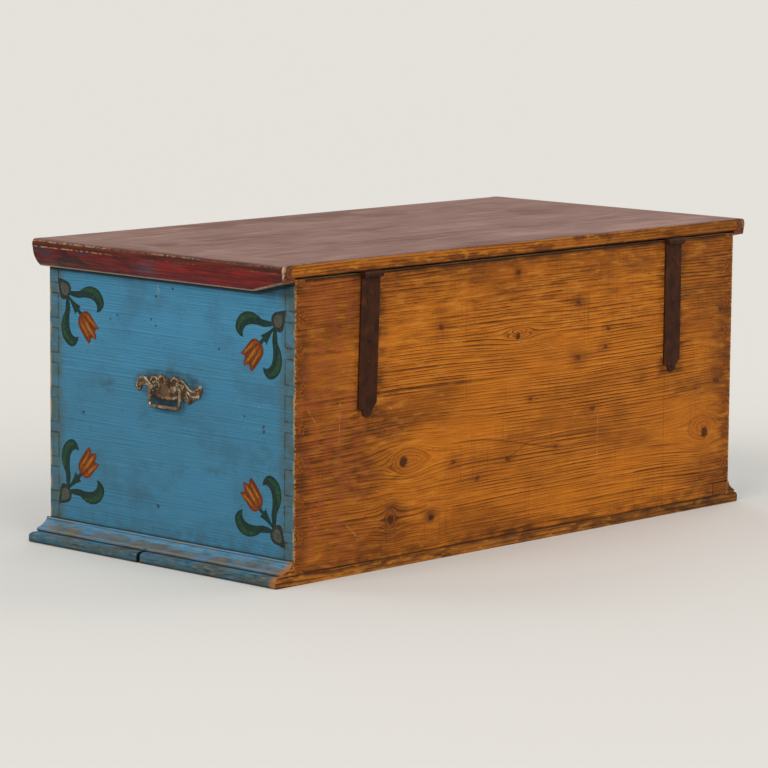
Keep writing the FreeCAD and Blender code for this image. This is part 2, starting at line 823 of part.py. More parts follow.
def handle_plate(side):
    """Back plate with a deep middle and a wing at each side."""
    label = f"handle_plate_{SIDE_NAMES[side]}"
    body = new_body(label)
    place(body, half_length * side, 0, size.handle_height)
    half = size.plate_half_body
    wing = size.plate_half_width
    waist = size.plate_waist
    centre = -size.plate_wing_drop
    neck = wing - waist
    scoop = size.plate_scoop
    top = size.plate_top
    low = -size.plate_bottom
    sketch = draw(new_sketch(body, "YZ_Plane", f"{label}_outline"), [
        (-half, low, -scoop), (half, low), (neck, centre - waist, -scoop), (wing, centre, waist),
        (neck, centre + waist, waist), (half, top, -scoop), (-half, top), (-neck, centre + waist, -scoop),
        (-wing, centre, waist), (-neck, centre - waist, waist),
    ])
    for across in (-size.post_spacing / 2, size.post_spacing / 2):
        draw_circle(sketch, across, 0, size.post_shank_radius + size.nail_clearance)
    for across in (-handle_nail_y, handle_nail_y):
        draw_circle(sketch, across, centre, size.handle_nail_radius + size.nail_clearance)
    pad(body, sketch, f"{label}_sheet", size.plate_thickness, symmetric=False, backwards=side == LEFT)


def handle_post(name, side, y):
    """Post through the plate and the end board, with an eye for the bail."""
    out = X_AXIS * side
    inner_end = half_length - size.end_thickness - size.rove_thickness * 2
    plate_face = half_length + size.plate_thickness
    shank = cylinder(f"{name}_shank", out, inner_end * side, y, size.handle_height, size.post_shank_radius,
                     plate_face - inner_end)
    head = cylinder(f"{name}_head", out, plate_face * side, y, size.handle_height, size.post_radius,
                    size.post_length - size.plate_thickness)
    eye = cylinder(f"{name}_eye", Y_AXIS, (half_length + size.bail_standoff) * side,
                   y - size.post_radius * 2, size.handle_height,
                   size.bail_rod_radius + size.running_clearance, size.post_radius * 4)
    return cut(name, fuse(f"{name}_blank", shank, head), eye)


def handle_rove(name, side, y):
    """Washer under the riveted end of a post, on the inside of the end board."""
    base = (half_length - size.end_thickness) * side
    inward = X_AXIS * -side
    bore = size.post_shank_radius + size.nail_clearance
    thickness = size.rove_thickness
    disc = cylinder(f"{name}_disc", inward, base, y, size.handle_height, size.rove_radius, thickness)
    hole = cylinder(f"{name}_hole", inward, base, y, size.handle_height, bore, thickness)
    return cut(name, disc, hole)


def handle_bail(side):
    """Bent rod that hangs from the two posts."""
    label = f"handle_bail_{SIDE_NAMES[side]}"
    body = new_body(label)
    place(body, (half_length + size.bail_standoff) * side, 0, size.handle_height)
    arm = size.bail_width / 2
    tip = size.post_spacing / 2 - size.bail_end_reach
    elbow = size.bail_elbow
    bend = size.bail_bend
    drop = size.bail_drop
    path = draw(new_sketch(body, "YZ_Plane", f"{label}_path"), [
        (-tip, 0), (elbow - arm, 0), (-arm, -elbow, elbow), (-arm, bend - drop), (bend - arm, -drop, bend),
        (arm - bend, -drop), (arm, bend - drop, bend), (arm, -elbow), (arm - elbow, 0, elbow), (tip, 0),
    ], closed=False)
    rod = draw_circle(new_sketch(body, "XZ_Plane", f"{label}_rod_section", tip), 0, 0, size.bail_rod_radius)
    sweep = body.newObject("PartDesign::AdditivePipe", f"{label}_rod")
    sweep.Profile = rod
    sweep.Spine = path
    body.Tip = sweep
    document.recompute()


def handles():
    nails = []
    roves = []
    for side in (RIGHT, LEFT):
        name = SIDE_NAMES[side]
        handle_plate(side)
        handle_bail(side)
        posts = []
        for index, half in enumerate((-1, 1)):
            post_y = size.post_spacing / 2 * half
            posts.append(handle_post(f"handle_post_{name}_{index}", side, post_y))
            roves.append(handle_rove(f"handle_rove_{name}_{index}", side, post_y))
            nails.append(nail(f"handle_nail_{name}_{index}", X_AXIS * -side,
                              (half_length + size.plate_thickness) * side, handle_nail_y * half,
                              size.handle_height - size.plate_wing_drop, size.handle_nail_radius,
                              size.nail_length, size.handle_nail_head, size.nail_head_height))
        group(f"handle_posts_{name}", posts)
    group("handle_roves", roves)
    group("handle_nails", nails)


# Lock


def lock():
    """Box lock behind the front board; its bolt slides along X through the eye of the lid's staple."""
    back = -inner_half_depth
    top = lock_top
    case = box("lock_blank", -(size.lock_width / 2), back, top - lock_height,
               size.lock_width, size.lock_depth, lock_height)
    play = size.bolt_clearance
    eye_half = size.staple_thickness / 2 + size.staple_clearance
    bolt_tip = -(eye_half + size.bolt_retreat)
    bolt_low = top - size.bolt_depth_below_top - size.bolt_height
    middle = back + size.lock_depth / 2
    bolt_y = middle - size.bolt_width / 2
    channel = box("lock_channel", bolt_tip - size.bolt_length - play, bolt_y - play, bolt_low - play,
                  size.bolt_length + size.bolt_travel + play * 2, size.bolt_width + play * 2,
                  size.bolt_height + play * 2)
    eye_width = size.bolt_width + size.staple_clearance * 2
    staple_width = eye_width + size.staple_wall * 2
    staple_low = bolt_low - size.staple_clearance - size.staple_foot
    slot_width = staple_width + size.staple_clearance * 2
    slot_low = staple_low - size.staple_clearance
    slot = box("lock_slot", -eye_half, middle - slot_width / 2, slot_low, eye_half * 2, slot_width,
               top - slot_low)
    chamber_low = key_height - size.key_chamber_drop
    chamber = box("lock_chamber", -(size.key_chamber_width / 2), back, chamber_low, size.key_chamber_width,
                  size.key_chamber_depth, bolt_low - chamber_low)
    screws = []
    holes = []
    inner_face = back + size.lock_depth
    for index, (across, up) in enumerate(((-1, -1), (1, -1), (-1, 1), (1, 1))):
        x = (size.lock_width / 2 - size.lock_screw_inset) * across
        z = top - lock_height / 2 + (lock_height / 2 - size.lock_screw_inset) * up
        holes.append(cylinder(f"lock_hole_{index}", -Y_AXIS, x, inner_face, z,
                              size.lock_screw_radius + size.nail_clearance, size.lock_depth))
        screws.append(nail(f"lock_screw_{index}", -Y_AXIS, x, inner_face, z, size.lock_screw_radius,
                           size.lock_depth + size.lock_screw_length, size.lock_screw_radius * 2,
                           size.nail_head_height))
    keep(cut("lock_case", case, channel, slot, chamber, *holes), "lock_case")
    group("lock_screws", screws)
    keep(box("lock_bolt", bolt_tip - size.bolt_length, bolt_y, bolt_low, size.bolt_length, size.bolt_width,
             size.bolt_height), "lock_bolt")
    tongue = box("staple_tongue", -(size.staple_thickness / 2), middle - staple_width / 2, staple_low,
                 size.staple_thickness, staple_width, lid_under - staple_low)
    plate = box("staple_plate", -(size.staple_plate_length / 2), middle - size.staple_plate_width / 2,
                lid_under - size.staple_plate_thickness, size.staple_plate_length, size.staple_plate_width,
                size.staple_plate_thickness)
    eye = box("staple_eye", -size.staple_thickness, middle - eye_width / 2,
              bolt_low - size.staple_clearance, size.staple_thickness * 2, eye_width,
              size.bolt_height + size.staple_clearance * 2)
    keep(cut("lock_staple", fuse("staple_blank", tongue, plate), eye), "lock_staple")


def escutcheon():
    """Keyhole plate on the front, with two pins."""
    body = new_body("escutcheon")
    place(body)
    half_width = size.escutcheon_width / 2
    half_height = size.escutcheon_height / 2
    corner = size.escutcheon_round
    low = key_height - half_height
    high = key_height + half_height
    sketch = draw(new_sketch(body, "XZ_Plane", "escutcheon_outline", half_depth), [
        (corner - half_width, low, corner), (half_width - corner, low), (half_width, low + corner, corner),
        (half_width, high - corner), (half_width - corner, high, corner), (corner - half_width, high),
        (-half_width, high - corner, corner), (-half_width, low + corner),
    ])
    draw_key_slot(sketch, key_height)
    pins = []
    outer_face = -(half_depth + size.escutcheon_thickness)
    for index, up in enumerate((-1, 1)):
        height = key_height + (half_height - size.escutcheon_pin_inset) * up
        draw_circle(sketch, 0, height, size.escutcheon_pin_radius + size.nail_clearance)
        pins.append(nail(f"escutcheon_pin_{index}", Y_AXIS, 0, outer_face, height,
                         size.escutcheon_pin_radius, size.escutcheon_pin_length,
                         size.escutcheon_pin_head, size.escutcheon_pin_radius))
    pad(body, sketch, "escutcheon_sheet", size.escutcheon_thickness, symmetric=False)
    group("escutcheon_pins", pins)


# Till


def till():
    """Open tray at the left end, housed in the front and back boards."""
    half_width = inner_half_depth + size.till_housing - size.joint_clearance
    floor = rim_height - size.till_below_rim - size.till_height
    near = -inner_half_length
    keep(box("till_side", near + size.till_width, -half_width, floor, size.till_board, half_width * 2,
             size.till_height), "till_side")
    keep(box("till_bottom", near, -half_width, floor, size.till_width, half_width * 2, size.till_board),
         "till_bottom")


def check_and_write():
    """Stop on any failed object or shape, then write one file for each sub-part."""
    document.recompute()
    for item in document.Objects:
        if {"Invalid", "Error"} & set(item.State):
            raise ValueError(f"{item.Name} failed: {item.State}")
    os.makedirs("parts", exist_ok=True)
    for item in sub_parts:
        if item.Shape.isNull() or not item.Shape.isValid():
            raise ValueError(f"{item.Label} has no valid shape")
    for item in sub_parts:
        item.Shape.exportStep(f"parts/{item.Label}.step")
        print(item.Label, len(item.Shape.Solids), "solids", round(item.Shape.Volume, 1), "mm3")


lock_top = rim_height - size.lock_below_rim
key_height = lid_under - size.rim_drop - size.escutcheon_gap - size.escutcheon_height / 2
lock_height = lock_top - key_height + size.lock_below_key
handle_nail_y = size.plate_half_width - size.handle_nail_inset

case_boards()
bottom_boards()
plinth_mouldings()
lid_pieces()
hinges()
bottom_nails()
handles()
lock()
escutcheon()
till()
check_and_write()
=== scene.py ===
import json
import math

import bmesh
import bpy
from mathutils import Matrix, Vector


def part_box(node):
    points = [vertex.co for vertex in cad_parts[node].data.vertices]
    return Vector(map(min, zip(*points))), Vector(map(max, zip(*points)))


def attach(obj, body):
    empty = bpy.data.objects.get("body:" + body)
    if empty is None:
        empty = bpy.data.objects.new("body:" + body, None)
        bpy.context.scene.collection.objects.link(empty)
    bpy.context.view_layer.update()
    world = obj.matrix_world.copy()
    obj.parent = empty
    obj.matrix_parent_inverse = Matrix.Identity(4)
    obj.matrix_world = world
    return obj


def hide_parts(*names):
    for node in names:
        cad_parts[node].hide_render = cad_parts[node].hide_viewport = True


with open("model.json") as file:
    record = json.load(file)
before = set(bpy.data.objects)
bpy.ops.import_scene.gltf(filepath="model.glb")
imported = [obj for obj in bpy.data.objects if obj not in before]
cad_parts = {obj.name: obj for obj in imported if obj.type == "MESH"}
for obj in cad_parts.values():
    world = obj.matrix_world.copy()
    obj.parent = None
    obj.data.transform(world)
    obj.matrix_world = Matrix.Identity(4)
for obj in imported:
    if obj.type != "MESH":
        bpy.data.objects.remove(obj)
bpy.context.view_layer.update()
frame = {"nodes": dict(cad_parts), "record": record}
NODES = frame["nodes"]
MM = 0.001
ON_PLANE = 0.0003  # a face whose middle is this near a plane lies on it

END_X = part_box("back_panel")[1].x
BACK_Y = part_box("back_panel")[1].y
RIM_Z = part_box("back_panel")[1].z
FOOT_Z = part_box("back_panel")[0].z
BOARD = BACK_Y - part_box("back_panel")[0].y
TAILS = 8
TAIL_PITCH = (RIM_Z - FOOT_Z) / TAILS
TAIL_HALF = 0.351  # half of a tail's width at the face, in pitches
STRAP_X = 0.395  # middle of each strap, left and right
STRAP_FOOT_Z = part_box("hinge_strap_right")[0].z
RIM_FOOT_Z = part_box("lid_moulding_right")[0].z
LID_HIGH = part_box("lid_moulding_right")[1]
RIM_CUT_LENGTH = 0.084  # at the back the rim's foot slopes up by the rise over this length
RIM_CUT_RISE = 0.020
RIM_CUT_Y = LID_HIGH.y - RIM_CUT_LENGTH
RIM_CUT_SLOPE = RIM_CUT_RISE / RIM_CUT_LENGTH
LID_UNDER_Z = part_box("lid_board_back")[0].z
SHINE = 0.15  # specular level of most looks
DULL = 0.1  # and of the back's wood and the iron
BUMP = 0.6  # usual strength of a bump
SCRATCH_CORE = 0.3  # share of a scratch's width that is at full strength
MIX_SHARE, MIX_BASE, MIX_OTHER, MIX_RESULT = 0, 6, 7, 2  # a colour Mix node's sockets


def tone(code):
    """Linear colour of a written sRGB colour."""
    parts = [int(code[i:i + 2], 16) / 255 for i in (1, 3, 5)]
    linear = [p / 12.92 if p <= 0.04045 else ((p + 0.055) / 1.055) ** 2.4 for p in parts]
    return (*linear, 1.0)


def math_node(operation):
    """Method of Field that adds one Math node."""
    return lambda field, *others: field.look.math(operation, field, *others)


class Field:
    """A value that varies over a surface; arithmetic with it adds nodes to its material."""

    def __init__(self, look, socket):
        self.look = look
        self.socket = socket

    def __rsub__(self, other):
        return self.look.math("SUBTRACT", other, self)

    __add__ = __radd__ = math_node("ADD")
    __sub__ = math_node("SUBTRACT")
    __mul__ = __rmul__ = math_node("MULTIPLY")
    __truediv__ = math_node("DIVIDE")
    __abs__ = math_node("ABSOLUTE")
    root = math_node("SQRT")
    fraction = math_node("FRACT")
    most = math_node("MAXIMUM")
    least = math_node("MINIMUM")

    def line(self, half_width, core):
        """1 where the value is about 0, fading from the core to the half width, both in mm."""
        return abs(self).ramp(half_width * MM, core * MM)

    def ramp(self, start, end):
        """0 before start, 1 past end, smooth between; start may be the higher one."""
        values = {"Value": self, "From Min": start, "From Max": end}
        node = self.look.add("MapRange", **values)
        node.interpolation_type = "SMOOTHSTEP"
        return Field(self.look, node.outputs[0])


class Look:
    """One material's node tree, with the place on the object as x, y and z in metres."""

    def __init__(self, name, specular=SHINE):
        self.material = bpy.data.materials.new(name)
        self.material.use_nodes = True
        self.tree = self.material.node_tree
        self.shader = self.tree.nodes["Principled BSDF"]
        self.shader.inputs["Specular IOR Level"].default_value = specular
        self.place = Field(self, self.add("TexCoord").outputs["Object"])
        split = self.add("SeparateXYZ", Vector=self.place)
        self.x, self.y, self.z = (Field(self, socket) for socket in split.outputs)

    def add(self, kind, **values):
        """New node with these values on its sockets."""
        node = self.tree.nodes.new("ShaderNode" + kind)
        for socket, value in values.items():
            self.plug(node.inputs[socket], value)
        return node

    def plug(self, socket, value):
        """Give a socket a field, a written colour or a number."""
        if isinstance(value, Field):
            self.tree.links.new(value.socket, socket)
        else:
            socket.default_value = tone(value) if isinstance(value, str) else value

    def math(self, operation, *values):
        node = self.add("Math")
        node.operation = operation
        for socket, value in zip(node.inputs, values):
            self.plug(socket, value)
        return Field(self, node.outputs[0])

    def noise(self, place, cells, seed=0.0, detail=2.0, roughness=0.55):
        """Noise from 0 to 1 with so many cells a metre along each field of place. Where place has two
        fields, the seed is the third coordinate."""
        join = self.add("CombineXYZ", Z=seed)
        for socket, field, count in zip(join.inputs, place, cells):
            self.plug(socket, field * count)
        spot = Field(self, join.outputs[0])
        node = self.add("TexNoise", Vector=spot, Scale=1.0, Detail=detail, Roughness=roughness)
        return Field(self, node.outputs[0])

    def jitter(self, place, cells, seed, amount, detail=2.0):
        """Noise that strays to either side of 0 by up to half the amount."""
        return (self.noise(place, cells, seed, detail) - 0.5) * amount

    def mix(self, share, base, other):
        """Colour base with a share of the other colour."""
        node = self.add("Mix")
        node.data_type = "RGBA"
        self.plug(node.inputs[MIX_SHARE], share)
        self.plug(node.inputs[MIX_BASE], base)
        self.plug(node.inputs[MIX_OTHER], other)
        return Field(self, node.outputs[MIX_RESULT])

    def ground(self, base, other, where):
        """First coat: the base colour, and the other one where the mask is 1."""
        self.colour = self.mix(where, base, other)

    def coat(self, colour, where, share=1.0):
        """Next coat: a colour where the mask is 1, with that share of full cover."""
        self.colour = self.mix(where if share == 1.0 else where * share, self.colour, colour)

    def distance(self, point):
        node = self.add("VectorMath")
        node.operation = "DISTANCE"
        self.plug(node.inputs[0], self.place)
        node.inputs[1].default_value = point
        return Field(self, node.outputs["Value"])

    def oval(self, along, across, centre, half):
        """Distance from the middle of an oval given in mm, 1 at its outline."""
        side = (along - centre[0] * MM) / (half[0] * MM)
        rise = (across - centre[1] * MM) / (half[1] * MM)
        return (side * side + rise * rise).root()

    def scratch(self, along, across, start, end, width):
        """1 on a straight scratch given in mm, 0 beside it."""
        start, end = ([part * MM for part in point] for point in (start, end))
        run = Vector(end) - Vector(start)
        side = along - start[0]
        rise = across - start[1]
        share = (side * run.x + rise * run.y) / run.length_squared
        share = share.most(0.0).least(1.0)
        side = side - share * run.x
        rise = rise - share * run.y
        return (side * side + rise * rise).root().ramp(width * MM, width * MM * SCRATCH_CORE)

    def finish(self, roughness, height, depth, strength=BUMP, metallic=0.0):
        """Put the coats on the shader, with a bump of that depth in metres."""
        self.plug(self.shader.inputs["Base Color"], self.colour)
        self.plug(self.shader.inputs["Roughness"], roughness)
        self.plug(self.shader.inputs["Metallic"], metallic)
        bump = self.add("Bump", Strength=strength, Distance=depth, Height=height)
        self.tree.links.new(bump.outputs[0], self.shader.inputs["Normal"])
        return self.material


# Share of a year's growth where the late wood starts, where it is full, and where the pale line ends
EARLY_WOOD, LATE_WOOD, PALE_LINE = 0.3, 0.95, 0.03
YEAR_DRIFT = 3.2  # years by which the rings stray


def pine_grain(look, along, flow, period, seed=0.0):
    """Broad bands, late wood that deepens over each year's growth and ends sharply, the pale line
    that follows it, and fibres."""
    bands = look.noise((flow, along), cells=(0.12 / period, 0.5), seed=seed).ramp(0.35, 0.65)
    drift = look.noise((flow, along), cells=(0.3 / period, 1.1), seed=seed + 3) * YEAR_DRIFT
    year = (flow / period + drift).fraction()
    late = year.ramp(EARLY_WOOD, LATE_WOOD)
    pale = year.ramp(EARLY_WOOD, PALE_LINE)
    clear = look.noise((along, flow), cells=(2.6, 9), seed=seed + 7, detail=3).ramp(0.34, 0.62)
    late = late * (clear * 0.6 + 0.4)
    fibres = look.noise((along, flow), cells=(12, 800), seed=seed + 13, detail=3).ramp(0.3, 0.7)
    return bands, late, pale, fibres


# Knots of the back board that part the grain: middle x, z; half height; reach towards +X and -X;
# core x, z and radius (mm); strength of the rings round the core
EYES = (
    (302, 176, 21, 36, 60, 311, 176, 13, 0.75),
    (341, 83, 16, 14, 14, 341, 82, 11, 0.9),
    (241, 73, 11, 11, 11, 241, 73, 8, 0.9),
    (-494, 150, 22, 44, 22, -497, 140, 13, 0.6),
    (20, 367, 10, 14, 60, 24, 362, 8, 0.35),
)
# Small dark knots: x, z, radius (mm)
SPECKS = (
    (186, 161, 8), (46, 151, 8), (126, 126, 8), (220, 395, 8), (-538, 362, 8), (-79, 159, 6),
    (-179, 216, 8), (-136, 407, 9), (-136, 311, 9), (-218, 355, 6), (-528, 232, 11), (-11, 250, 5),
    (26, 472, 8), (-211, 323, 7),
)
# Stain: middle x, z; half length, half height (mm); strength
BACK_STAINS = (
    (352, 240, 105, 28, 0.8), (418, 157, 66, 44, 0.75), (-445, 230, 130, 28, 0.7),
    (-311, 262, 34, 30, 0.5), (341, 92, 46, 36, 0.7), (241, 75, 28, 22, 0.7),
    (-136, 311, 44, 14, 0.5), (438, 440, 22, 60, 0.7), (30, 20, 90, 26, 0.6),
    (-500, 60, 90, 70, 0.4), (420, 60, 160, 60, 0.4), (-545, 300, 44, 200, 0.6),
    (552, 240, 30, 240, 0.6), (26, 474, 16, 26, 0.5), (-140, 408, 34, 14, 0.45),
    (60, 440, 60, 26, 0.35), (-300, 470, 90, 24, 0.5), (-60, 120, 120, 50, 0.3),
    (440, 195, 150, 95, 0.5), (500, 350, 80, 130, 0.35), (-470, 410, 120, 90, 0.4),
    (-300, 190, 120, 60, 0.2),
)
# Scratch: from x, z to x, z; half width (mm)
BACK_SCRATCHES = (
    ((541, 289), (515, 254), 2.0), ((464, 289), (466, 225), 1.8), ((446, 84), (425, 66), 2.2),
    ((-193, 205), (-192, 110), 1.3), ((352, 274), (340, 268), 1.6), ((536, 110), (520, 90), 1.6),
)
# Two long grain lines in the middle of the back: height at +X, where it changes, and by how much
UPPER_LINE_Z, UPPER_LINE_RUN, UPPER_LINE_DROP = 0.193, (0.146, -0.13), 0.038
LOWER_LINE_Z, LOWER_LINE_RUN, LOWER_LINE_RISE = 0.1545, (0.05, -0.02), 0.022
LINES_MIDDLE_X = -0.01
LINES_REACH = (0.24, 0.15)  # they fade between these distances from their middle
PALE_MIDDLE_X = -0.06  # the back darkens to both sides of this
BOARD_MARK_X = -0.378  # upright mark in the lower half, and where it ends above
BOARD_MARK_TOP = (0.27, 0.25)
# Small patch let into the foot of the back board at its left end
PATCH_X = -0.526
PATCH_Z = 0.042
EYE_RINGS = 3.2  # rings from a knot's middle to its outline
SPECK_STRETCH = 1.5  # a small knot's length to its height
KNOT_CORE = 0.3  # share of a knot's radius in which the grain stands still
ALMOND_BLEND = 0.006  # a knot turns from round to pointed so near its middle
ARRIS = (0.005, 0.001)  # wear along a corner fades between these distances from it
STRAP_STAIN = (0.05, 0.022)  # the wood beside a strap darkens between these distances
MIDDLE = (-0.1, 0.1)  # x between which one end's looks give way to the other's


def part_grain(flow, along, across, middle, radius, stretch):
    """Grain that flows round a knot."""
    side = (along - middle[0]) / stretch
    rise = across - middle[1]
    square = side * side + rise * rise + (KNOT_CORE * radius) ** 2
    return flow - rise * radius ** 2 / square


def almond(along, across, middle, half, right, left):
    """Oval round a knot, pointed towards -X: 0 at its middle, 1 at its outline."""
    side = along - middle[0]
    share = side.most(0.0) / right - side.least(0.0) / left
    rise = abs(across - middle[1]) / half
    pointed = rise + share * share
    smooth = (rise * rise + share * share).root()
    return pointed + (smooth - pointed) * side.ramp(-ALMOND_BLEND, ALMOND_BLEND)


def back_knots(look):
    """Knots with rings, a dark outline and a darker core, then the small ones."""
    x, z = look.x, look.z
    for middle_x, middle_z, half, right, left, core_x, core_z, core, strength in EYES:
        middle = (middle_x * MM, middle_z * MM)
        rim = almond(x, z, middle, half * MM, right * MM, left * MM)
        year = rim * EYE_RINGS + look.noise((x, z), cells=(60, 60), seed=31) * 0.8
        year = year.fraction().ramp(0.4, LATE_WOOD)
        knot = look.mix(year * 0.8, "#a85c12", "#4e2307")
        look.coat(knot, rim.ramp(1.02, 0.9) * 0.75 * strength)
        look.coat("#421c05", abs(rim - 1.0).ramp(0.1, 0.02) * 0.55 * strength)
        pith = look.distance((core_x * MM, BACK_Y, core_z * MM))
        pith = pith + look.jitter((x, z), cells=(160, 160), seed=37, amount=0.008)
        look.coat("#2a1205", pith.ramp(core * MM, core * MM * 0.45), 0.85)
    for speck_x, speck_z, radius in SPECKS:
        oval = look.oval(x, z, (speck_x, speck_z), (radius * SPECK_STRETCH, radius))
        oval = oval + look.jitter((x, z), cells=(110, 150), seed=39, amount=1.6, detail=3)
        look.coat("#6a3209", oval.ramp(2.8, 0.6), 0.35)
        look.coat("#371805", oval.ramp(0.9, 0.1), 0.7)


def back_wear(look):
    """Stains, the dark wood beside the straps, rubbing, flecks, scratches, darkening towards the edges
    and worn edges.
    """
    x, z = look.x, look.z
    smear = look.noise((x, z), cells=(26, 70), seed=41, detail=6).ramp(0.36, 0.62)
    for stain_x, stain_z, long, tall, strength in BACK_STAINS:
        oval = look.oval(x, z, (stain_x, stain_z), (long, tall))
        look.coat("#3e1c09", oval.ramp(1.15, 0.1) * (smear * 0.6 + 0.28) * strength)
    beside_strap = abs(abs(x) - STRAP_X).ramp(*STRAP_STAIN)
    beside_strap = beside_strap * z.ramp(STRAP_FOOT_Z - 0.012, STRAP_FOOT_Z)
    look.coat("#321605", beside_strap * smear, 0.7)
    rubs = look.noise((x, z), cells=(260, 9), seed=51, detail=4).ramp(0.54, 0.68)
    rubbed = look.noise((x, z), cells=(5, 4), seed=57).ramp(0.4, 0.62)
    look.coat("#4e2607", rubs * rubbed, 0.3)
    reddish = look.noise((x, z), cells=(40, 16), seed=63, detail=4).ramp(0.4, 0.6)
    look.coat("#8c4424", x.ramp(0.3, 0.5) * reddish, 0.45)
    flecks = look.noise((x, z), cells=(150, 260), seed=59)
    look.coat("#3f1e06", flecks.ramp(0.64, 0.72), 0.55)
    look.coat("#d3984c", flecks.ramp(0.29, 0.25), 0.35)
    board_mark = (x - BOARD_MARK_X).line(1.2, 0.4) * z.ramp(*BOARD_MARK_TOP)
    look.coat("#3f210c", board_mark, 0.4)
    for start, end, width in BACK_SCRATCHES:
        look.coat("#cf9a5e", look.scratch(x, z, start, end, width) * smear, 0.36)
    edge = (END_X - abs(x)).least((RIM_Z - z) * 2.0).least((z - FOOT_Z) * 1.4)
    look.coat("#3c1d08", edge.ramp(0.045, 0.004) * smear, 0.6)
    look.coat("#cf9f5c", (END_X - abs(x)).ramp(*ARRIS) * flecks.ramp(0.5, 0.6), 0.6)


def back_patch(look):
    """The patch at the foot, dark joint lines round it and along the foot, and painted shade of the gap
    below the lid.
    """
    x, z = look.x, look.z
    inside = x.ramp(PATCH_X, PATCH_X - 0.001) * z.ramp(PATCH_Z, PATCH_Z - 0.001)
    look.coat("#5d3009", inside, 0.4)
    side = (x - PATCH_X).line(1.8, 0.4) * z.ramp(PATCH_Z + 0.002, PATCH_Z)
    top = (z - PATCH_Z).line(1.4, 0.4) * x.ramp(PATCH_X + 0.001, PATCH_X)
    joints_and_lid_shade = side.most(top).most(z.ramp(FOOT_Z + 0.0026, FOOT_Z + 0.0006))
    # Painted shade of the gap below the lid, along the top of the back
    joints_and_lid_shade = joints_and_lid_shade.most(z.ramp(RIM_Z - 0.0058, RIM_Z - 0.002))
    look.coat("#1f0e06", joints_and_lid_shade, 0.85)


def stained_pine():
    """The back: stained pine, palest and least worn in its lower middle."""
    look = Look("stained_pine", DULL)
    x, z = look.x, look.z
    flow = z + look.jitter((x, z), cells=(1.6, 5), seed=3, amount=0.014, detail=3)
    for middle_x, middle_z, half, right, left, *_ in EYES:
        stretch = (right + left) / 2 / half
        flow = part_grain(flow, x, z, (middle_x * MM, middle_z * MM), half * MM, stretch)
    bands, late, pale, fibres = pine_grain(look, x, flow, period=0.0056)
    late = late.ramp(0.12, 1.0)
    look.ground("#b2630f", "#3d1903", late)
    look.coat("#8c480b", bands, 0.22)
    look.coat("#d98a2b", pale, 0.45)
    look.coat("#d9892a", fibres.ramp(0.45, 1.0), 0.35)
    look.coat("#6a3308", fibres.ramp(0.5, 0.0), 0.3)
    blotches = look.noise((x, z), cells=(3.4, 9), seed=21, detail=5)
    look.coat("#5a2906", blotches.ramp(0.48, 0.68), 0.5)
    look.coat("#c97715", blotches.ramp(0.46, 0.3), 0.4)
    worn = look.noise((x, z), cells=(20, 110), seed=67, detail=6)
    outer = x.ramp(0.1, 0.45).most(z.ramp(0.3, 0.46)).most(x.ramp(-0.42, -0.56))
    look.coat("#3f1c06", worn.ramp(0.5, 0.68) * (outer * 0.38 + 0.1))
    look.coat("#d18a34", worn.ramp(0.48, 0.36) * (outer * 0.32 + 0.1))
    look.coat("#542506", abs(x - PALE_MIDDLE_X).ramp(0.3, 0.64), 0.35)
    look.coat("#5a2906", z.ramp(0.36, 0.5), 0.22)

    upper_line = UPPER_LINE_Z - x.ramp(*UPPER_LINE_RUN) * UPPER_LINE_DROP
    lower_line = LOWER_LINE_Z + x.ramp(*LOWER_LINE_RUN) * LOWER_LINE_RISE
    reach = abs(x - LINES_MIDDLE_X).ramp(*LINES_REACH)
    for height in (upper_line, lower_line):
        look.coat("#4a2005", (z - height).line(2.2, 0.5) * reach, 0.5)
    back_knots(look)
    back_wear(look)
    back_patch(look)
    height = fibres * 0.5 - late * 0.6
    return look.finish(roughness=0.6 + late * 0.1, height=height, depth=0.0006, strength=0.55)


def end_grain():
    """Ends of the pins on the back face: dark and worn, orange where rubbed."""
    look = Look("pin_end_grain", DULL)
    x, z = look.x, look.z
    rings = look.noise((x, z), cells=(420, 160), seed=3, detail=3).ramp(0.35, 0.65)
    worn = look.noise((x, z), cells=(240, 290), seed=9, detail=6).ramp(0.46, 0.62)
    look.ground("#4c250a", "#834514", rings)
    look.coat("#a9621d", worn, 0.5)
    look.coat("#cf9f5c", (END_X - abs(x)).ramp(*ARRIS) * worn, 0.6)
    return look.finish(roughness=0.72, height=rings + worn, depth=0.0008)


def bare_pine(name, along_x, along_y, across_y, across_z):
    """Unpainted inner faces; the weights say which way the board runs."""
    look = Look(name)
    along = look.x * along_x + look.y * along_y
    across = look.y * across_y + look.z * across_z + look.x * along_y
    flow = across + look.jitter((along, across), cells=(2, 5), seed=5, amount=0.025, detail=3)
    bands, late, pale, fibres = pine_grain(look, along, flow, period=0.009, seed=2)
    look.ground("#b08a59", "#80592f", late * 0.8)
    look.coat("#c9a878", pale, 0.3)
    look.coat("#a97f4c", bands, 0.3)
    age = look.noise((along, across), cells=(5, 9), seed=15, detail=4).ramp(0.42, 0.7)
    look.coat("#65482a", age, 0.4)
    return look.finish(roughness=0.78 - fibres * 0.1, height=fibres * 0.5 - late * 0.5, depth=0.0005)


# Mark on the blue end: y, z, radius (mm)
END_MARKS = (
    (-31, 446, 4), (-210, 232, 4), (-25, 92, 5), (-125, 406, 3), (-42, 407, 3), (-31, 397, 3),
    (180, 267, 3), (224, 254, 4), (225, 246, 4), (-142, 398, 2.5), (10, 462, 3), (120, 372, 3),
)
# Stain on the blue end: y, z; half length, half height (mm); strength
END_STAINS = (
    (-152, 288, 36, 18, 0.9), (92, 377, 34, 9, 0.5), (-54, 238, 30, 26, 0.5),
    (225, 200, 70, 46, 0.5), (110, 168, 40, 12, 0.6), (4, 296, 104, 44, 0.6),
    (60, 330, 70, 20, 0.35), (-27, 452, 16, 22, 0.5), (-70, 100, 110, 40, 0.35),
    (-180, 150, 60, 60, 0.3),
)
# Scratch on the blue end: from y, z to y, z; half width (mm)
END_SCRATCHES = (((-26, 464), (-27, 450), 2.8), ((-23, 460), (-22, 453), 1.6))
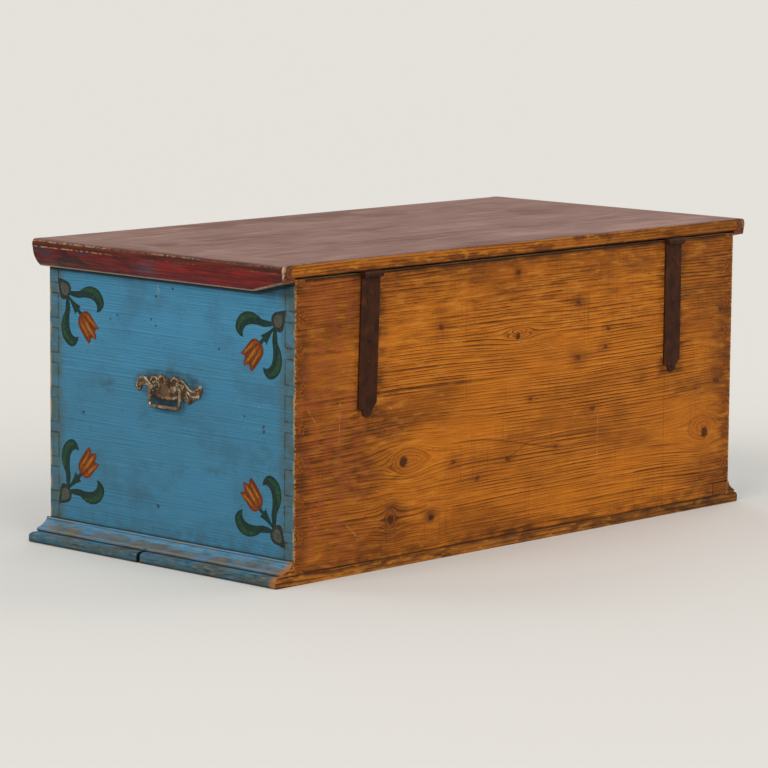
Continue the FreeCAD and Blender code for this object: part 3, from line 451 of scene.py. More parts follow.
# Dirt and painted shade behind the handle, and dirt with the bail's painted shadow inside the bail:
# middle y, z; half length, half height (mm)
HANDLE_DIRT_AND_SHADE = ((5, 299), (86, 27))
BAIL_DIRT_AND_SHADOW = ((-9, 274), (42, 21))
RIM_GAP = (-0.0085, -0.0045)  # heights from the rim's foot between which the gap's shade sets in
LOW_DIRT = (0.08, 0.042)  # heights between which dirt sets in, and the shade above the plinth
FOOT_SHADOW = (0.0435, 0.0405)
JOINT_LINE = (0.0019, 0.0006)  # the dovetails' lines fade between these distances from them


def above_rim_foot(look):
    """Height above the foot of the lid's rim, which slopes up at the back."""
    return look.z - RIM_FOOT_Z - (look.y - RIM_CUT_Y).most(0.0) * RIM_CUT_SLOPE


def blue_joints(look, along, smear):
    """Worn paint and dark lines over the dovetails of the corners; gives the lines."""
    z = look.z
    edge = (END_X - abs(look.x)).most(BACK_Y - abs(look.y))
    look.coat("#46544d", edge.ramp(BOARD * 2.0, BOARD * 0.8) * (smear * 0.5 + 0.45), 0.95)
    off_tail = abs(((z - FOOT_Z) / TAIL_PITCH).fraction() - 0.5) - TAIL_HALF
    tail_side = (abs(off_tail) * TAIL_PITCH).ramp(*JOINT_LINE) * edge.ramp(BOARD + 0.001, BOARD)
    tail_foot = abs(edge - BOARD).ramp(*JOINT_LINE) * off_tail.ramp(0.01, -0.01)
    joint = tail_side.most(tail_foot) * (smear * 0.6 + 0.4)
    look.coat("#1a282b", joint, 0.8)
    rubbed = look.noise((along, z), cells=(60, 34), seed=61, detail=5).ramp(0.4, 0.6)
    look.coat("#ab8d68", edge.ramp(*ARRIS) * rubbed, 0.8)
    return joint


def blue_dirt(look, along, smear):
    """Stains, dirt and painted shade round the handle, scratches, marks and chips."""
    y, z = look.y, look.z
    for stain_y, stain_z, long, tall, strength in END_STAINS:
        oval = look.oval(y, z, (stain_y, stain_z), (long, tall))
        look.coat("#333f3a", oval.ramp(1.2, 0.0) * smear * strength, 0.6)
    # Dirt with painted shade round the plate, and dirt with the bail's painted shadow inside it
    behind = look.oval(y, z, *HANDLE_DIRT_AND_SHADE).ramp(1.15, 0.85)
    look.coat("#26322f", behind * (smear * 0.3 + 0.35))
    bail_dirt_and_shadow = look.oval(y, z, *BAIL_DIRT_AND_SHADOW).ramp(1.2, 0.55)
    look.coat("#1a211d", bail_dirt_and_shadow * (smear * 0.25 + 0.65))
    for start, end, width in END_SCRATCHES:
        look.coat("#93a09b", look.scratch(y, z, start, end, width) * (smear * 0.4 + 0.15))
    for mark_y, mark_z, radius in END_MARKS:
        middle = look.distance((END_X, mark_y * MM, mark_z * MM))
        middle = middle + look.jitter((y, z), cells=(260, 260), seed=67, amount=0.004)
        look.coat("#232d30", middle.ramp(radius * MM, radius * MM * 0.4), 0.8)
    chips = look.noise((along, z), cells=(150, 190), seed=71, detail=3)
    look.coat("#2a434c", chips.ramp(0.64, 0.7), 0.5)
    look.coat("#86a6ac", chips.ramp(0.3, 0.26), 0.4)


def blue_paint():
    """Three painted sides, with painted shade below the rim, and darker above the plinth with dirt and
    painted shade.
    """
    look = Look("blue_paint")
    z = look.z
    along = look.x + look.y
    flow = z + look.jitter((along, z), cells=(2.2, 5), seed=3, amount=0.008)
    bands, late, pale, fibres = pine_grain(look, along, flow, period=0.0048, seed=4)
    look.ground("#3c7c9c", "#245872", late * 0.55)
    look.coat("#35708c", bands, 0.15)
    look.coat("#4f8fae", pale, 0.2)
    look.coat("#5c9ab6", fibres.ramp(0.5, 1.0), 0.22)
    cloud = look.noise((along, z), cells=(9, 11), seed=23, detail=6, roughness=0.62)
    look.coat("#36586a", cloud.ramp(0.48, 0.68), 0.45)
    look.coat("#3583ad", cloud.ramp(0.46, 0.3), 0.35)
    look.coat("#315866", z.ramp(0.42, 0.22), 0.3)
    smear = look.noise((along, z), cells=(44, 52), seed=43, detail=6).ramp(0.36, 0.62)
    joint = blue_joints(look, along, smear)
    blue_dirt(look, along, smear)
    # Painted shadow of the rim on the panel below it, then painted shade of the gap under the rim's foot
    rim_shadow = z.ramp(RIM_FOOT_Z - 0.012, RIM_FOOT_Z) * (smear * 0.4 + 0.4)
    look.coat("#1c2f36", rim_shadow, 0.8)
    look.coat("#0f1719", above_rim_foot(look).ramp(*RIM_GAP), 0.8)
    look.coat("#3b4a46", z.ramp(*LOW_DIRT) * smear, 0.4)
    # Painted shade just above the plinth
    look.coat("#1d2628", z.ramp(*FOOT_SHADOW), 0.8)
    height = fibres * 0.5 - late * 0.5 - joint * 1.5
    return look.finish(roughness=0.5 + late * 0.1, height=height, depth=0.0006)


PLINTH_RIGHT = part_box("plinth_moulding_right")[1].x
PLINTH_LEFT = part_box("plinth_moulding_left")[0].x
PLINTH_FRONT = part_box("plinth_moulding_front")[0].y
GAP_Y = (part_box("bottom_board_front")[1].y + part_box("bottom_board_back")[0].y) / 2
# Heights on the plinth (m): the nosing and the crease on it, then the moulding's lines from below
NOSING_START, NOSING_END = 0.0185, 0.017
CREASE_Z = 0.0183
COVE_Z = 0.0224
HOLLOW = (0.033, 0.026)
GROOVE_Z = 0.0365
BEAD_Z = 0.0386
TOP_SEAM = (0.0394, 0.0402)
FLOOR_SHADE = (0.007, 0.0005)  # FLOOR_SHADE = (0.007, 0.0005) # heights between which the painted shade near the floor sets in
# Dark joint of nosing and moulding at the back: where it fades in and out
BOARD_SEAM_FOOT, BOARD_SEAM_TOP = (0.0152, 0.0176), (0.0188, 0.0182)
WORN_CORNER = (0.02, 0.004)  # distances from the back between which the paint is worn off
ABOVE_PLINTH = (0.3, 0.4)  # heights between which the plinth's looks give way to the lid's
INSIDE = (0.004, 0.012)  # distances from the sides between which the bare inside starts


def plinth_paint():
    """Blue band, dusty hollow and grey-green nosing of the plinth, with painted shade in its joints, in
    the gap between the boards and along the floor; bare wood inside the case.
    """
    look = Look("plinth_paint")
    x, y, z = look.x, look.y, look.z
    along = x + y
    streaks = look.noise((along, z), cells=(9, 420), seed=3, detail=3).ramp(0.3, 0.7)
    cloud = look.noise((along, z), cells=(14, 60), seed=13, detail=5)
    look.ground("#376d8c", "#5288a6", streaks)
    look.coat("#47585a", cloud.ramp(0.46, 0.6), 0.6)
    dust = z.ramp(*HOLLOW) * z.ramp(NOSING_END, NOSING_START)
    look.coat("#5f584b", dust * cloud.ramp(0.36, 0.54), 0.75)
    nosing = z.ramp(NOSING_START, NOSING_END)
    nosing_tone = look.mix(cloud.ramp(0.4, 0.6), "#305564", "#414842")
    look.coat(nosing_tone, nosing, 0.9)
    chips = look.noise((along, z), cells=(45, 260), seed=23, detail=6)
    chip_tone = look.mix(nosing, "#786850", "#6b6d5c")
    look.coat(chip_tone, chips.ramp(0.54, 0.62), 0.55)
    look.coat("#23292a", chips.ramp(0.45, 0.36) * (nosing * 0.4 + 0.3))
    out = (x - PLINTH_RIGHT).most(PLINTH_LEFT - x).most(PLINTH_FRONT - y)
    # Dark joint lines, with painted shade where the moulding meets the nosing, along the top seam and in
    # the groove
    crease = (z - CREASE_Z).line(2.0, 0.6) * out.ramp(0.0045, 0.0015)
    seam = crease.most(z.ramp(*TOP_SEAM)).most((z - GROOVE_Z).line(1.2, 0.4) * 0.5)
    look.coat("#151919", seam, 0.85)
    ridge = (z - BEAD_Z).line(1.2, 0.4).most((z - COVE_Z).line(1.6, 0.5) * 0.7)
    look.coat("#9a9582", ridge * (cloud.ramp(0.36, 0.54) * 0.45 + 0.15))
    # Painted shade in the gap between the two bottom boards
    gap = (y - GAP_Y).line(6.2, 3.4) * nosing.most(out.ramp(-0.001, 0.001))
    look.coat("#12130f", gap, 0.9)
    # Painted shade along the foot, next to the floor
    look.coat("#22201b", z.ramp(*FLOOR_SHADE), 0.75)
    corner = (BACK_Y - y).ramp(*WORN_CORNER) * (chips.ramp(0.4, 0.5) * 0.5 + 0.4)
    look.coat("#9a622c", corner)
    inside = (END_X - abs(x)).ramp(*INSIDE) * (BACK_Y - abs(y)).ramp(*INSIDE)
    bare = look.mix(look.noise((x, y), cells=(2, 300), seed=33, detail=3), "#8a6438", "#b48d5a")
    look.coat(bare, inside)
    return look.finish(roughness=0.62, height=streaks * 0.4 + chips, depth=0.0009)


def raw_edge(name, dark, light, patch):
    """Worn bare edges that face back, with a dark seam and painted shade of the gap under the lid."""
    look = Look(name, DULL)
    x, z = look.x, look.z
    flow = z + look.noise((x, z), cells=(3, 6), seed=3) * 0.01
    bands, late, pale, fibres = pine_grain(look, x, flow, period=0.006, seed=6)
    look.ground(light, dark, late)
    look.coat("#bd7c2a", pale, 0.25)
    dirt = look.noise((x, z), cells=(17, 60), seed=17, detail=6)
    look.coat(patch, dirt.ramp(0.48, 0.64), 0.65)
    worn = look.noise((x, z), cells=(34, 120), seed=27, detail=4)
    look.coat("#c07c26", worn.ramp(0.55, 0.65), 0.5)
    look.coat("#7a3510", worn.ramp(0.42, 0.34), 0.5)
    look.coat(patch, x.ramp(0.1, -0.6), 0.4)
    seam = z.ramp(*BOARD_SEAM_FOOT) * z.ramp(*BOARD_SEAM_TOP)
    # Painted shade of the gap under the lid, along the foot of the lid's edge
    lid_gap_shade = z.ramp(LID_UNDER_Z + 0.0028, LID_UNDER_Z + 0.0006) * z.ramp(*ABOVE_PLINTH)
    look.coat("#20120a", seam.most(lid_gap_shade), 0.8)
    return look.finish(roughness=0.66, height=fibres * 0.5 - late + dirt + bands * 0.3, depth=0.0008)


# Heights on the rim (m): its two ridges, and those between which its band and its grime set in
LOWER_RIDGE_Z = 0.5113
UPPER_RIDGE_Z = 0.5212
RIM_BAND = (0.5100, 0.5125)
RIM_GRIME = (0.511, 0.5215)
RIM_SMUDGE = ((-30, 494), (35, 14))  # grey smudge: middle y, z; half length, half height (mm)


def red_paint():
    """Red moulded rim: streaked with dark and grey, worn to pale wood along its ridges."""
    look = Look("red_paint")
    x, y, z = look.x, look.y, look.z
    along = x + y
    streaks = look.noise((along, z), cells=(9, 240), seed=3, detail=4).ramp(0.34, 0.66)
    look.ground("#560f0b", "#841b14", streaks)
    soil = look.noise((along, z), cells=(14, 46), seed=13, detail=6)
    forward = y.ramp(0.02, -0.2) * 0.6 + 0.3
    look.coat("#211213", soil.ramp(0.46, 0.58) * forward)
    look.coat("#34333d", soil.ramp(0.44, 0.36) * forward)
    scuffs = look.noise((along, z), cells=(40, 320), seed=23, detail=5)
    look.coat("#2b0d0a", scuffs.ramp(0.55, 0.66) * (forward * 0.6))
    look.coat("#a0382a", scuffs.ramp(0.42, 0.32), 0.25)
    look.coat("#261011", y.ramp(0.0, -0.2), 0.3)
    smudge = look.oval(y, z, *RIM_SMUDGE).ramp(1.2, 0.3)
    look.coat("#3c4150", smudge * streaks, 0.8)
    band_tone = look.mix(streaks, "#40140c", "#612718")
    look.coat(band_tone, z.ramp(*RIM_BAND), 0.9)
    wear = look.noise((along, z), cells=(110, 180), seed=33, detail=6)
    patchy = look.noise((along, z), cells=(9, 3), seed=37, detail=3).ramp(0.4, 0.56)
    lower_ridge = (z - LOWER_RIDGE_Z - (patchy - 0.5) * 0.002).line(1.8, 0.2)
    lower_ridge = lower_ridge * (y.ramp(-0.03, -0.15) * 0.7 + 0.25)
    upper_ridge = (z - UPPER_RIDGE_Z - (patchy - 0.5) * 0.001).line(1.9, 0.3)
    upper_ridge = upper_ridge * (y.ramp(0.17, 0.02) * 0.6 + 0.3)
    grime = z.ramp(*RIM_GRIME) * soil.ramp(0.54, 0.42)
    look.coat("#26120d", grime, 0.6)
    ridge = lower_ridge.most(upper_ridge) * wear.ramp(0.44, 0.56) * (patchy * 0.75 + 0.2)
    look.coat("#b0905f", ridge, 0.75)
    foot = above_rim_foot(look).ramp(0.0034, 0.0012)
    look.coat("#b29a80", foot * (wear.ramp(0.36, 0.5) * 0.4 + 0.4))
    cut = y.ramp(BACK_Y - 0.06, BACK_Y - 0.02) * soil.ramp(0.42, 0.54)
    look.coat("#331811", cut, 0.6)
    return look.finish(roughness=0.46 - streaks * 0.1, height=streaks * 0.5 + soil, depth=0.0006)


RIM_HEART_X = 0.56  # the rings of the rim's ends are counted from here
RIM_ARRIS_SLOPE = 0.4  # the pale arris of these ends leans by this
RIM_ARRIS = (0.798, 0.803)


def rim_end():
    """Cut back ends of the rim: dark wood inside a worn pale arris."""
    look = Look("rim_end")
    x, z = look.x, look.z
    rings = look.noise((abs(x) - RIM_HEART_X, z), cells=(300, 260), seed=5).ramp(0.35, 0.65)
    look.ground("#45200f", "#7c4522", rings)
    arris = (abs(x) + z * RIM_ARRIS_SLOPE).ramp(*RIM_ARRIS)
    worn = look.noise((x, z), cells=(120, 120), seed=9, detail=3).ramp(0.35, 0.55)
    seen_end = x.ramp(*MIDDLE) * 0.75 + 0.25
    look.coat("#cba781", arris * (worn * 0.6 + 0.3) * seen_end)
    soil = look.noise((x, z), cells=(70, 90), seed=15, detail=3).ramp(0.52, 0.66)
    look.coat("#2c1811", soil, 0.6)
    return look.finish(roughness=0.62, height=rings, depth=0.0005)


def lid_top(name, along_x):
    """Brown-mauve varnish with soft streaks along each board."""
    look = Look(name)
    along, across = (look.x, look.y) if along_x else (look.y, look.x)
    flow = across + look.jitter((along, across), cells=(1.5, 4), seed=3, amount=0.03)
    bands, late, pale, fibres = pine_grain(look, along, flow, period=0.016, seed=8)
    look.ground("#836054", "#5a372b", late * 0.5)
    look.coat("#9c7b6d", pale, 0.2)
    look.coat("#7a5244", bands, 0.25)
    cloud = look.noise((look.x, look.y), cells=(4, 6), seed=19, detail=6)
    look.coat("#5c382a", cloud.ramp(0.48, 0.66), 0.7)
    look.coat("#9f7769", cloud.ramp(0.45, 0.32), 0.55)
    rubs = look.noise((along, across), cells=(8, 50), seed=29, detail=6)
    look.coat("#a58476", rubs.ramp(0.52, 0.68), 0.4)
    look.coat("#53332a", rubs.ramp(0.47, 0.34), 0.36)
    rim = (LID_HIGH.x - abs(look.x)).least(LID_HIGH.y - look.y)
    look.coat("#432417", rim.ramp(0.018, 0.001) * rubs.ramp(0.4, 0.52), 0.6)
    dots = look.noise((look.x, look.y), cells=(130, 130), seed=39, detail=3).ramp(0.46, 0.58)
    look.coat("#2e160d", rim.ramp(0.005, 0.0015) * dots, 0.8)
    roughness = 0.4 + cloud * 0.14 + rubs.ramp(0.5, 0.7) * 0.1
    height = fibres * 0.3 - late * 0.3
    return look.finish(roughness, height, depth=0.0003, strength=0.4)


def wrought_iron():
    """Brown hammered iron with rust and pits."""
    look = Look("wrought_iron", DULL)
    x, y, z = look.x, look.y, look.z
    hammered = look.noise((x, y, z), cells=(60, 60, 40), detail=3)
    pits = look.noise((x, y, z), cells=(420, 420, 420))
    look.ground("#2c1406", "#3e1e0b", hammered.ramp(0.3, 0.7))
    rust = look.noise((x, y, z), cells=(40, 40, 26), detail=5).ramp(0.54, 0.7)
    look.coat("#5c2f14", rust, 0.45)
    look.coat("#1d0f08", pits.ramp(0.58, 0.68), 0.55)
    height = hammered + pits * 0.3
    return look.finish(roughness=0.6 - hammered * 0.16, height=height, depth=0.0005, strength=0.5)


HANDLE_LIP_HIGHLIGHT = ((0, 279), (10, 3.5))  # the plate's lip, with a painted orange highlight: middle y, z; half sizes (mm)
HANDLE_TIPS = ((78.5, 304.5), (72.5, 288))  # bright tips of the handle's long wing: y, z (mm)
TIP_HALF = (4, 4)


def handle_brass(name, dark, light, rust_share, metallic):
    """Old cast fittings: brown patina, rust in the hollows, a painted orange highlight on the plate's
    lip, pale metal where hands rub.
    """
    look = Look(name)
    x, y, z = look.x, look.y, look.z
    patches = look.noise((x, y, z), cells=(120, 90, 110), detail=4)
    look.ground(dark, light, patches.ramp(0.35, 0.65))
    rust = look.noise((x, y, z), cells=(60, 55, 70), detail=4).ramp(0.48, 0.6)
    look.coat("#6e3d1f", rust * rust_share)
    # Painted orange highlight on the plate's lip
    lip = look.oval(y, z, *HANDLE_LIP_HIGHLIGHT).ramp(1.2, 0.4)
    look.coat("#a05c36", lip, 0.65)
    rubbed = look.noise((x, y, z), cells=(190, 170, 180), detail=3).ramp(0.58, 0.68)
    wing = y * (x.ramp(*MIDDLE) * 2.0 - 1.0)
    for tip in HANDLE_TIPS:
        rubbed = rubbed.most(look.oval(wing, z, tip, TIP_HALF).ramp(1.1, 0.5))
    look.coat("#cdc2ad", rubbed, 0.6)
    roughness = 0.46 - rubbed * 0.15
    return look.finish(roughness, height=patches, depth=0.0004, strength=0.5, metallic=metallic)


def painted(name, dark, light, wear, scale=1.0):
    """Brushed decoration, thin enough for the ground to show in places."""
    look = Look(name)
    x, y, z = look.x, look.y, look.z
    strokes = look.noise((x, y, z), cells=(90, 260 * scale, 190 * scale), detail=3).ramp(0.34, 0.66)
    look.ground(dark, light, strokes)
    thin = look.noise((x, y, z), cells=(60, 90, 420), detail=4).ramp(0.58, 0.72)
    look.coat("#3f6a78", thin * wear)
    return look.finish(roughness=0.48, height=strokes, depth=0.0002, strength=0.4)


STAINED = stained_pine()
BLUE = blue_paint()
PIN_ENDS = end_grain()
BARE_SIDE = bare_pine("bare_side", 1.0, 0.0, 0.0, 1.0)
BARE_END = bare_pine("bare_end", 0.0, 1.0, 0.0, 1.0)
BARE_FLAT = bare_pine("bare_flat", 1.0, 0.0, 1.0, 0.0)
PLINTH = plinth_paint()
RED = red_paint()
RIM_END = rim_end()
LID_BOARD = lid_top("lid_top", True)
LID_CLAMP = lid_top("lid_clamp_top", False)
LID_EDGE = raw_edge("lid_edge", "#66330b", "#a55f17", "#401e08")
FOOT_EDGE = raw_edge("foot_edge", "#54300f", "#96591d", "#2e1b0d")
IRON = wrought_iron()
BRASS = handle_brass("handle_brass", "#3c2b1d", "#6a5740", 0.55, 0.5)
RUBBED_BRASS = handle_brass("rubbed_brass", "#705d47", "#ada087", 0.35, 0.7)
BAIL_BRASS = handle_brass("bail_brass", "#5c4833", "#8f7d64", 0.4, 0.7)


# Least share of a face's normal that points back, up, straight up or straight down
BACKWARD, UPWARD, LEVEL, DOWNWARD = 0.6, 0.35, 0.85, 0.9


def always(face):
    return True


def on_end(face):
    return abs(face.center.x) > END_X - ON_PLANE


def on_back(face):
    return face.center.y > BACK_Y - ON_PLANE


def on_front(face):
    return face.center.y < ON_PLANE - BACK_Y


def facing_back(face):
    return face.normal.y > BACKWARD


def facing_up(face):
    return face.normal.z > UPWARD


def facing_down(face):
    return face.normal.z < -DOWNWARD


def lying(face):
    return face.normal.z > LEVEL


def both(name):
    """Nodes of a pair."""
    return [f"{name}_right", f"{name}_left"]


def dress(nodes, *choices):
    """Each face takes the first material whose test holds for it."""
    for node in nodes:
        mesh = NODES[node].data
        mesh.materials.clear()
        for material, _ in choices:
            mesh.materials.append(material)
        for face in mesh.polygons:
            holds = [test(face) for _, test in choices]
            face.material_index = holds.index(True)


dress(["back_panel"], (BLUE, on_end), (STAINED, on_back), (BARE_SIDE, always))
dress(["front_panel"], (BLUE, on_end), (BLUE, on_front), (BARE_SIDE, always))
dress(both("end_panel"), (BLUE, on_end), (PIN_ENDS, on_back), (BLUE, on_front), (BARE_END, always))
dress(["bottom_board_front"], (BARE_FLAT, facing_down), (PLINTH, always))
dress(["bottom_board_back"], (BARE_FLAT, facing_down), (FOOT_EDGE, facing_back), (PLINTH, always))
dress([*both("plinth_moulding"), "plinth_moulding_front"], (FOOT_EDGE, facing_back), (PLINTH, always))
dress(
    ["lid_board_front", "lid_board_back"],
    (LID_EDGE, facing_back), (LID_BOARD, facing_up), (BARE_FLAT, always),
)
dress(both("lid_clamp"), (LID_EDGE, facing_back), (LID_CLAMP, facing_up), (BARE_END, always))
dress(
    [*both("lid_moulding"), "lid_moulding_front"],
    (RIM_END, facing_back), (LID_CLAMP, lying), (RED, always),
)
dress(["till_side"], (BARE_END, always))
dress(["till_bottom"], (BARE_FLAT, always))
SLOT_OF = {part["node"]: part["material_slot"] for part in frame["record"]["subparts"]}
dress([node for node, slot in SLOT_OF.items() if slot == "wrought_iron"], (IRON, always))
dress([node for node, slot in SLOT_OF.items() if slot == "handle_brass"], (BRASS, always))
dress(both("handle_bail"), (BAIL_BRASS, always))
dress(both("handle_posts"), (RUBBED_BRASS, always))


CURVE_STEPS = 7  # parts of a curve between two of its points


def spline(before, start, end, after, share):
    """Point of a Catmull-Rom curve between start and end."""
    return 0.5 * (
        2 * start + (end - before) * share
        + (2 * before - 5 * start + 4 * end - after) * share ** 2
        + (3 * start - before - 3 * end + after) * share ** 3
    )


def smooth(points, closed, steps=CURVE_STEPS):
    """Curve through a few points; a point given twice makes a sharp tip."""
    points = [Vector(point) for point in points]
    count = len(points)
    curve = []
    for i in range(count if closed else count - 1):
        if closed:
            near = [points[(i + k) % count] for k in (-1, 0, 1, 2)]
        else:
            near = [points[min(max(i + k, 0), count - 1)] for k in (-1, 0, 1, 2)]
        if near[1] != near[2]:
            curve += [spline(*near, step / steps) for step in range(steps)]
    return curve if closed else curve + [points[-1]]


def add_object(name, data):
    item = bpy.data.objects.new(name, data)
    bpy.context.scene.collection.objects.link(item)
    return item


def make_piece(name, mesh_maker, body, materials):
    """Object from a mesh that mesh_maker fills; every face gets its outward side."""
    bm = bmesh.new()
    mesh_maker(bm)
    bmesh.ops.recalc_face_normals(bm, faces=bm.faces)
    mesh = bpy.data.meshes.new(name)
    bm.to_mesh(mesh)
    bm.free()
    for material in materials:
        mesh.materials.append(material)
    piece = add_object(name, mesh)
    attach(piece, body)
    return piece


def join_rings(bm, ring, following):
    """Faces between two rings of points."""
    count = len(ring)
    return [
        bm.faces.new([ring[i], ring[(i + 1) % count], following[(i + 1) % count], following[i]])
        for i in range(count)
    ]


def add_plate(bm, outline, low, high, place, material_index=0):
    """Closed flat plate with this outline, from the low to the high level."""
    rings = [[bm.verts.new(place(a, b, level)) for a, b in outline] for level in (low, high)]
    caps = [bm.faces.new(ring) for ring in rings]
    for face in caps + join_rings(bm, *rings):
        face.material_index = material_index
        face.normal_update()
    bmesh.ops.triangulate(bm, faces=caps)


def mirrored(points):
    return [(b, a) for a, b in points]


# Corner tulip in mm, a and b measured from the bulb's tip towards the middle of the panel
BULB = [(-1, -1), (-1, -1), (14, 2), (27, 6), (33, 16), (29, 28), (17, 36), (7, 33), (2, 15)]
BULB_HEART = [(8, 8), (18, 8), (26, 13), (27, 22), (20, 29), (12, 27), (8, 18)]
LEAF = [
    (26, 22), (42, 19.5), (55, 18), (66, 12), (83, 8), (100, 12), (111, 22), (115.5, 34),
    (112.5, 43), (105, 49.5), (97, 51.5), (97, 51.5), (98.5, 43), (93.5, 34.5), (83, 29.5),
    (66, 28.5), (50, 30.5), (31, 27.5),
]
LEAF_LIGHT = [
    (64, 15.5), (83, 11), (98, 15), (107, 24), (110, 34), (108, 40), (103, 31), (93, 22), (80, 18),
]
STEM = [
    (24, 26), (24, 26), (40, 37), (54, 43.5), (57.5, 44.5), (57.5, 44.5), (53.5, 49), (61, 56),
    (56, 61), (49, 54.5), (43, 60), (43, 60), (41, 54), (33, 41), (26, 31),
]
TULIP = [
    (57, 58), (66, 52), (77, 53), (88, 63), (97, 72.5), (104, 79), (104, 79), (95, 81.5),
    (93, 84.5), (93, 84.5), (96, 92), (95.5, 98.5), (95.5, 98.5), (88, 96), (83, 96), (83, 96),
    (82, 102), (77.5, 107), (77.5, 107), (68, 98), (58, 86), (51, 75), (52, 64),
]
PETAL_SIDE = [
    (64, 56), (74, 56), (86, 66), (98, 76), (101, 78.5), (101, 78.5), (91, 77), (80, 69), (70, 61),
]
PETAL_MIDDLE = [
    (61, 62), (70, 66), (83, 79), (92, 90), (93.5, 96), (93.5, 96), (88, 93), (80, 88), (68, 76),
]
GLINT_SIDE = [(76, 60), (86, 68), (97, 76), (97, 76), (87, 71.5), (78, 64)]
GLINT_MIDDLE = [(70, 69), (82, 81), (91, 92), (91, 92), (82, 86), (71, 74)]
# Layer: number of its paint, level of its face above the board (mm), outlines
TULIP_LAYERS = (
    (0, 0.14, [LEAF, mirrored(LEAF), STEM]),
    (1, 0.20, [LEAF_LIGHT, mirrored(LEAF_LIGHT)]),
    (2, 0.20, [BULB]),
    (3, 0.26, [BULB_HEART]),
    (4, 0.20, [TULIP]),
    (5, 0.26, [PETAL_SIDE, mirrored(PETAL_SIDE), PETAL_MIDDLE]),
    (6, 0.32, [GLINT_SIDE, mirrored(GLINT_SIDE), GLINT_MIDDLE]),
)
TULIP_PAINTS = [
    painted("leaf_green", "#0f2420", "#183329", 0.12),
    painted("leaf_light", "#173423", "#244727", 0.08),
    painted("bulb_dark", "#1b2222", "#2b312c", 0.15),
    painted("bulb_grey", "#343830", "#4d4f42", 0.2, 1.6),
    painted("tulip_red", "#541f06", "#6c2f09", 0.1),
    painted("tulip_orange", "#6d3306", "#86470c", 0.05),
    painted("tulip_yellow", "#875312", "#a06e20", 0.05),
]
PIECE_SINK = -0.1  # level of a piece's back, inside the board (mm)
TULIP_TOP = 453 * MM
TULIP_LOW = 62 * MM
TULIP_INSET = 21 * MM  # from the panel's side to the bulb's tip
# Hand painting set the motifs of the ends a little up or down: across, upper, lift in mm
TULIP_LIFTS = {(-1, True): 4.5, (1, True): -4.0, (-1, False): 4.5, (1, False): -1.5}


def tulip_corner(name, side, across, half, upper):
    """One corner motif; side is the face's axis and sign, across the other sign."""
    axis, sign = side
    face = (END_X if axis == 0 else BACK_Y) * sign
    lift = TULIP_LIFTS[(across * sign, upper)] * MM if axis == 0 else 0.0

    def place(a, b, level):
        point = Vector((0, 0, 0))
        point[axis] = face + sign * level * MM
        point[1 - axis] = across * (half - TULIP_INSET - a * MM)
        point.z = lift + (TULIP_TOP - b * MM if upper else TULIP_LOW + b * MM)
        return point

    def fill(bm):
        for material_index, level, outlines in TULIP_LAYERS:
            for outline in outlines:
                add_plate(bm, smooth(outline, True), PIECE_SINK, level, place, material_index)

    make_piece(name, fill, "chest", TULIP_PAINTS)


for side_name, side, half in (
    ("right_end", (0, 1), BACK_Y), ("left_end", (0, -1), BACK_Y), ("front", (1, -1), END_X),
):
    for across in (-1, 1):
        for upper in (True, False):
            corner = f"tulip_{side_name}_{'high' if upper else 'low'}_{'b' if across > 0 else 'a'}"
            tulip_corner(corner, side, across, half, upper)


# Handle plate in mm: y and z from the bail's pivot line
PLATE_OUTLINE = [
    (-79, -5), (-73, -13), (-66, -10), (-62, -3), (-52, -3), (-45, -8), (-38, -14), (-25, -19),
    (-10, -22), (7, -22), (20, -19), (33, -17), (42, -19), (49, -25), (58, -20), (66, -15),
    (75, -12), (79, -4), (82, 3), (80, 10), (72, 8), (66, 4), (57, 1), (50, 4), (43, 10),
    (36, 16), (29, 16), (21, 19), (13, 19), (6, 15), (-4, 15), (-11, 18), (-17, 19), (-23, 16),
    (-30, 18), (-38, 16), (-47, 11), (-56, 14), (-66, 12), (-75, 5),
]
PLATE_STEPS = 5  # the same for the plate's outline
PLATE_THICK = 1.9  # mm
SHARP_DEGREES = 50  # edges of the plate that bend more than this stay sharp
RIB_STEPS = 6  # and for a rib
RIB_SIDES = 10
RIB_FLATTEN = 0.75  # height of a rib to its half width
RIB_MATERIAL = 1
# Rib: points of its path, then its radius at the start and at the end
PLATE_RIBS = (
    (
        [(-42, 0), (-50, 7), (-57, 11), (-66, 9), (-73, 2), (-75, -5), (-72, -10), (-67, -8), (-68, -4)],
        2.7, 1.5,
    ),
    ([(-41, 6), (-37, 13), (-30, 14), (-26, 10), (-29, 7)], 2.2, 1.3),
    ([(-22, 10), (-17, 16), (-10, 15), (-7, 10)], 2.3, 1.4),
    ([(9, 10), (14, 16), (21, 15), (25, 10), (21, 7)], 2.2, 1.3),
    ([(28, 13), (35, 13), (42, 8), (49, 2), (57, -2), (66, -2)], 2.9, 1.2),
    ([(64, 0), (70, 2), (76, 6), (79, 8)], 1.2, 2.5),
    ([(46, -4), (54, -9), (63, -11), (72, -9)], 1.6, 2.2),
    ([(43, -6), (47, -13), (49, -20)], 1.9, 1.3),
    ([(-24, -15), (-12, -18), (0, -19), (12, -18), (24, -15)], 1.5, 1.5),
    ([(-52, 1), (-46, -3), (-40, -9)], 1.6, 1.1),
)
POST_Y = 28  # mm from the plate's middle to each post
ROSETTE_RADIUS = 6.5  # ring round each post (mm)
ROSETTE_RIB = 1.6
ROSETTE_STEPS = 24


def round_turns(count):
    """Angles that divide a full turn."""
    return [2 * math.pi * k / count for k in range(count)]


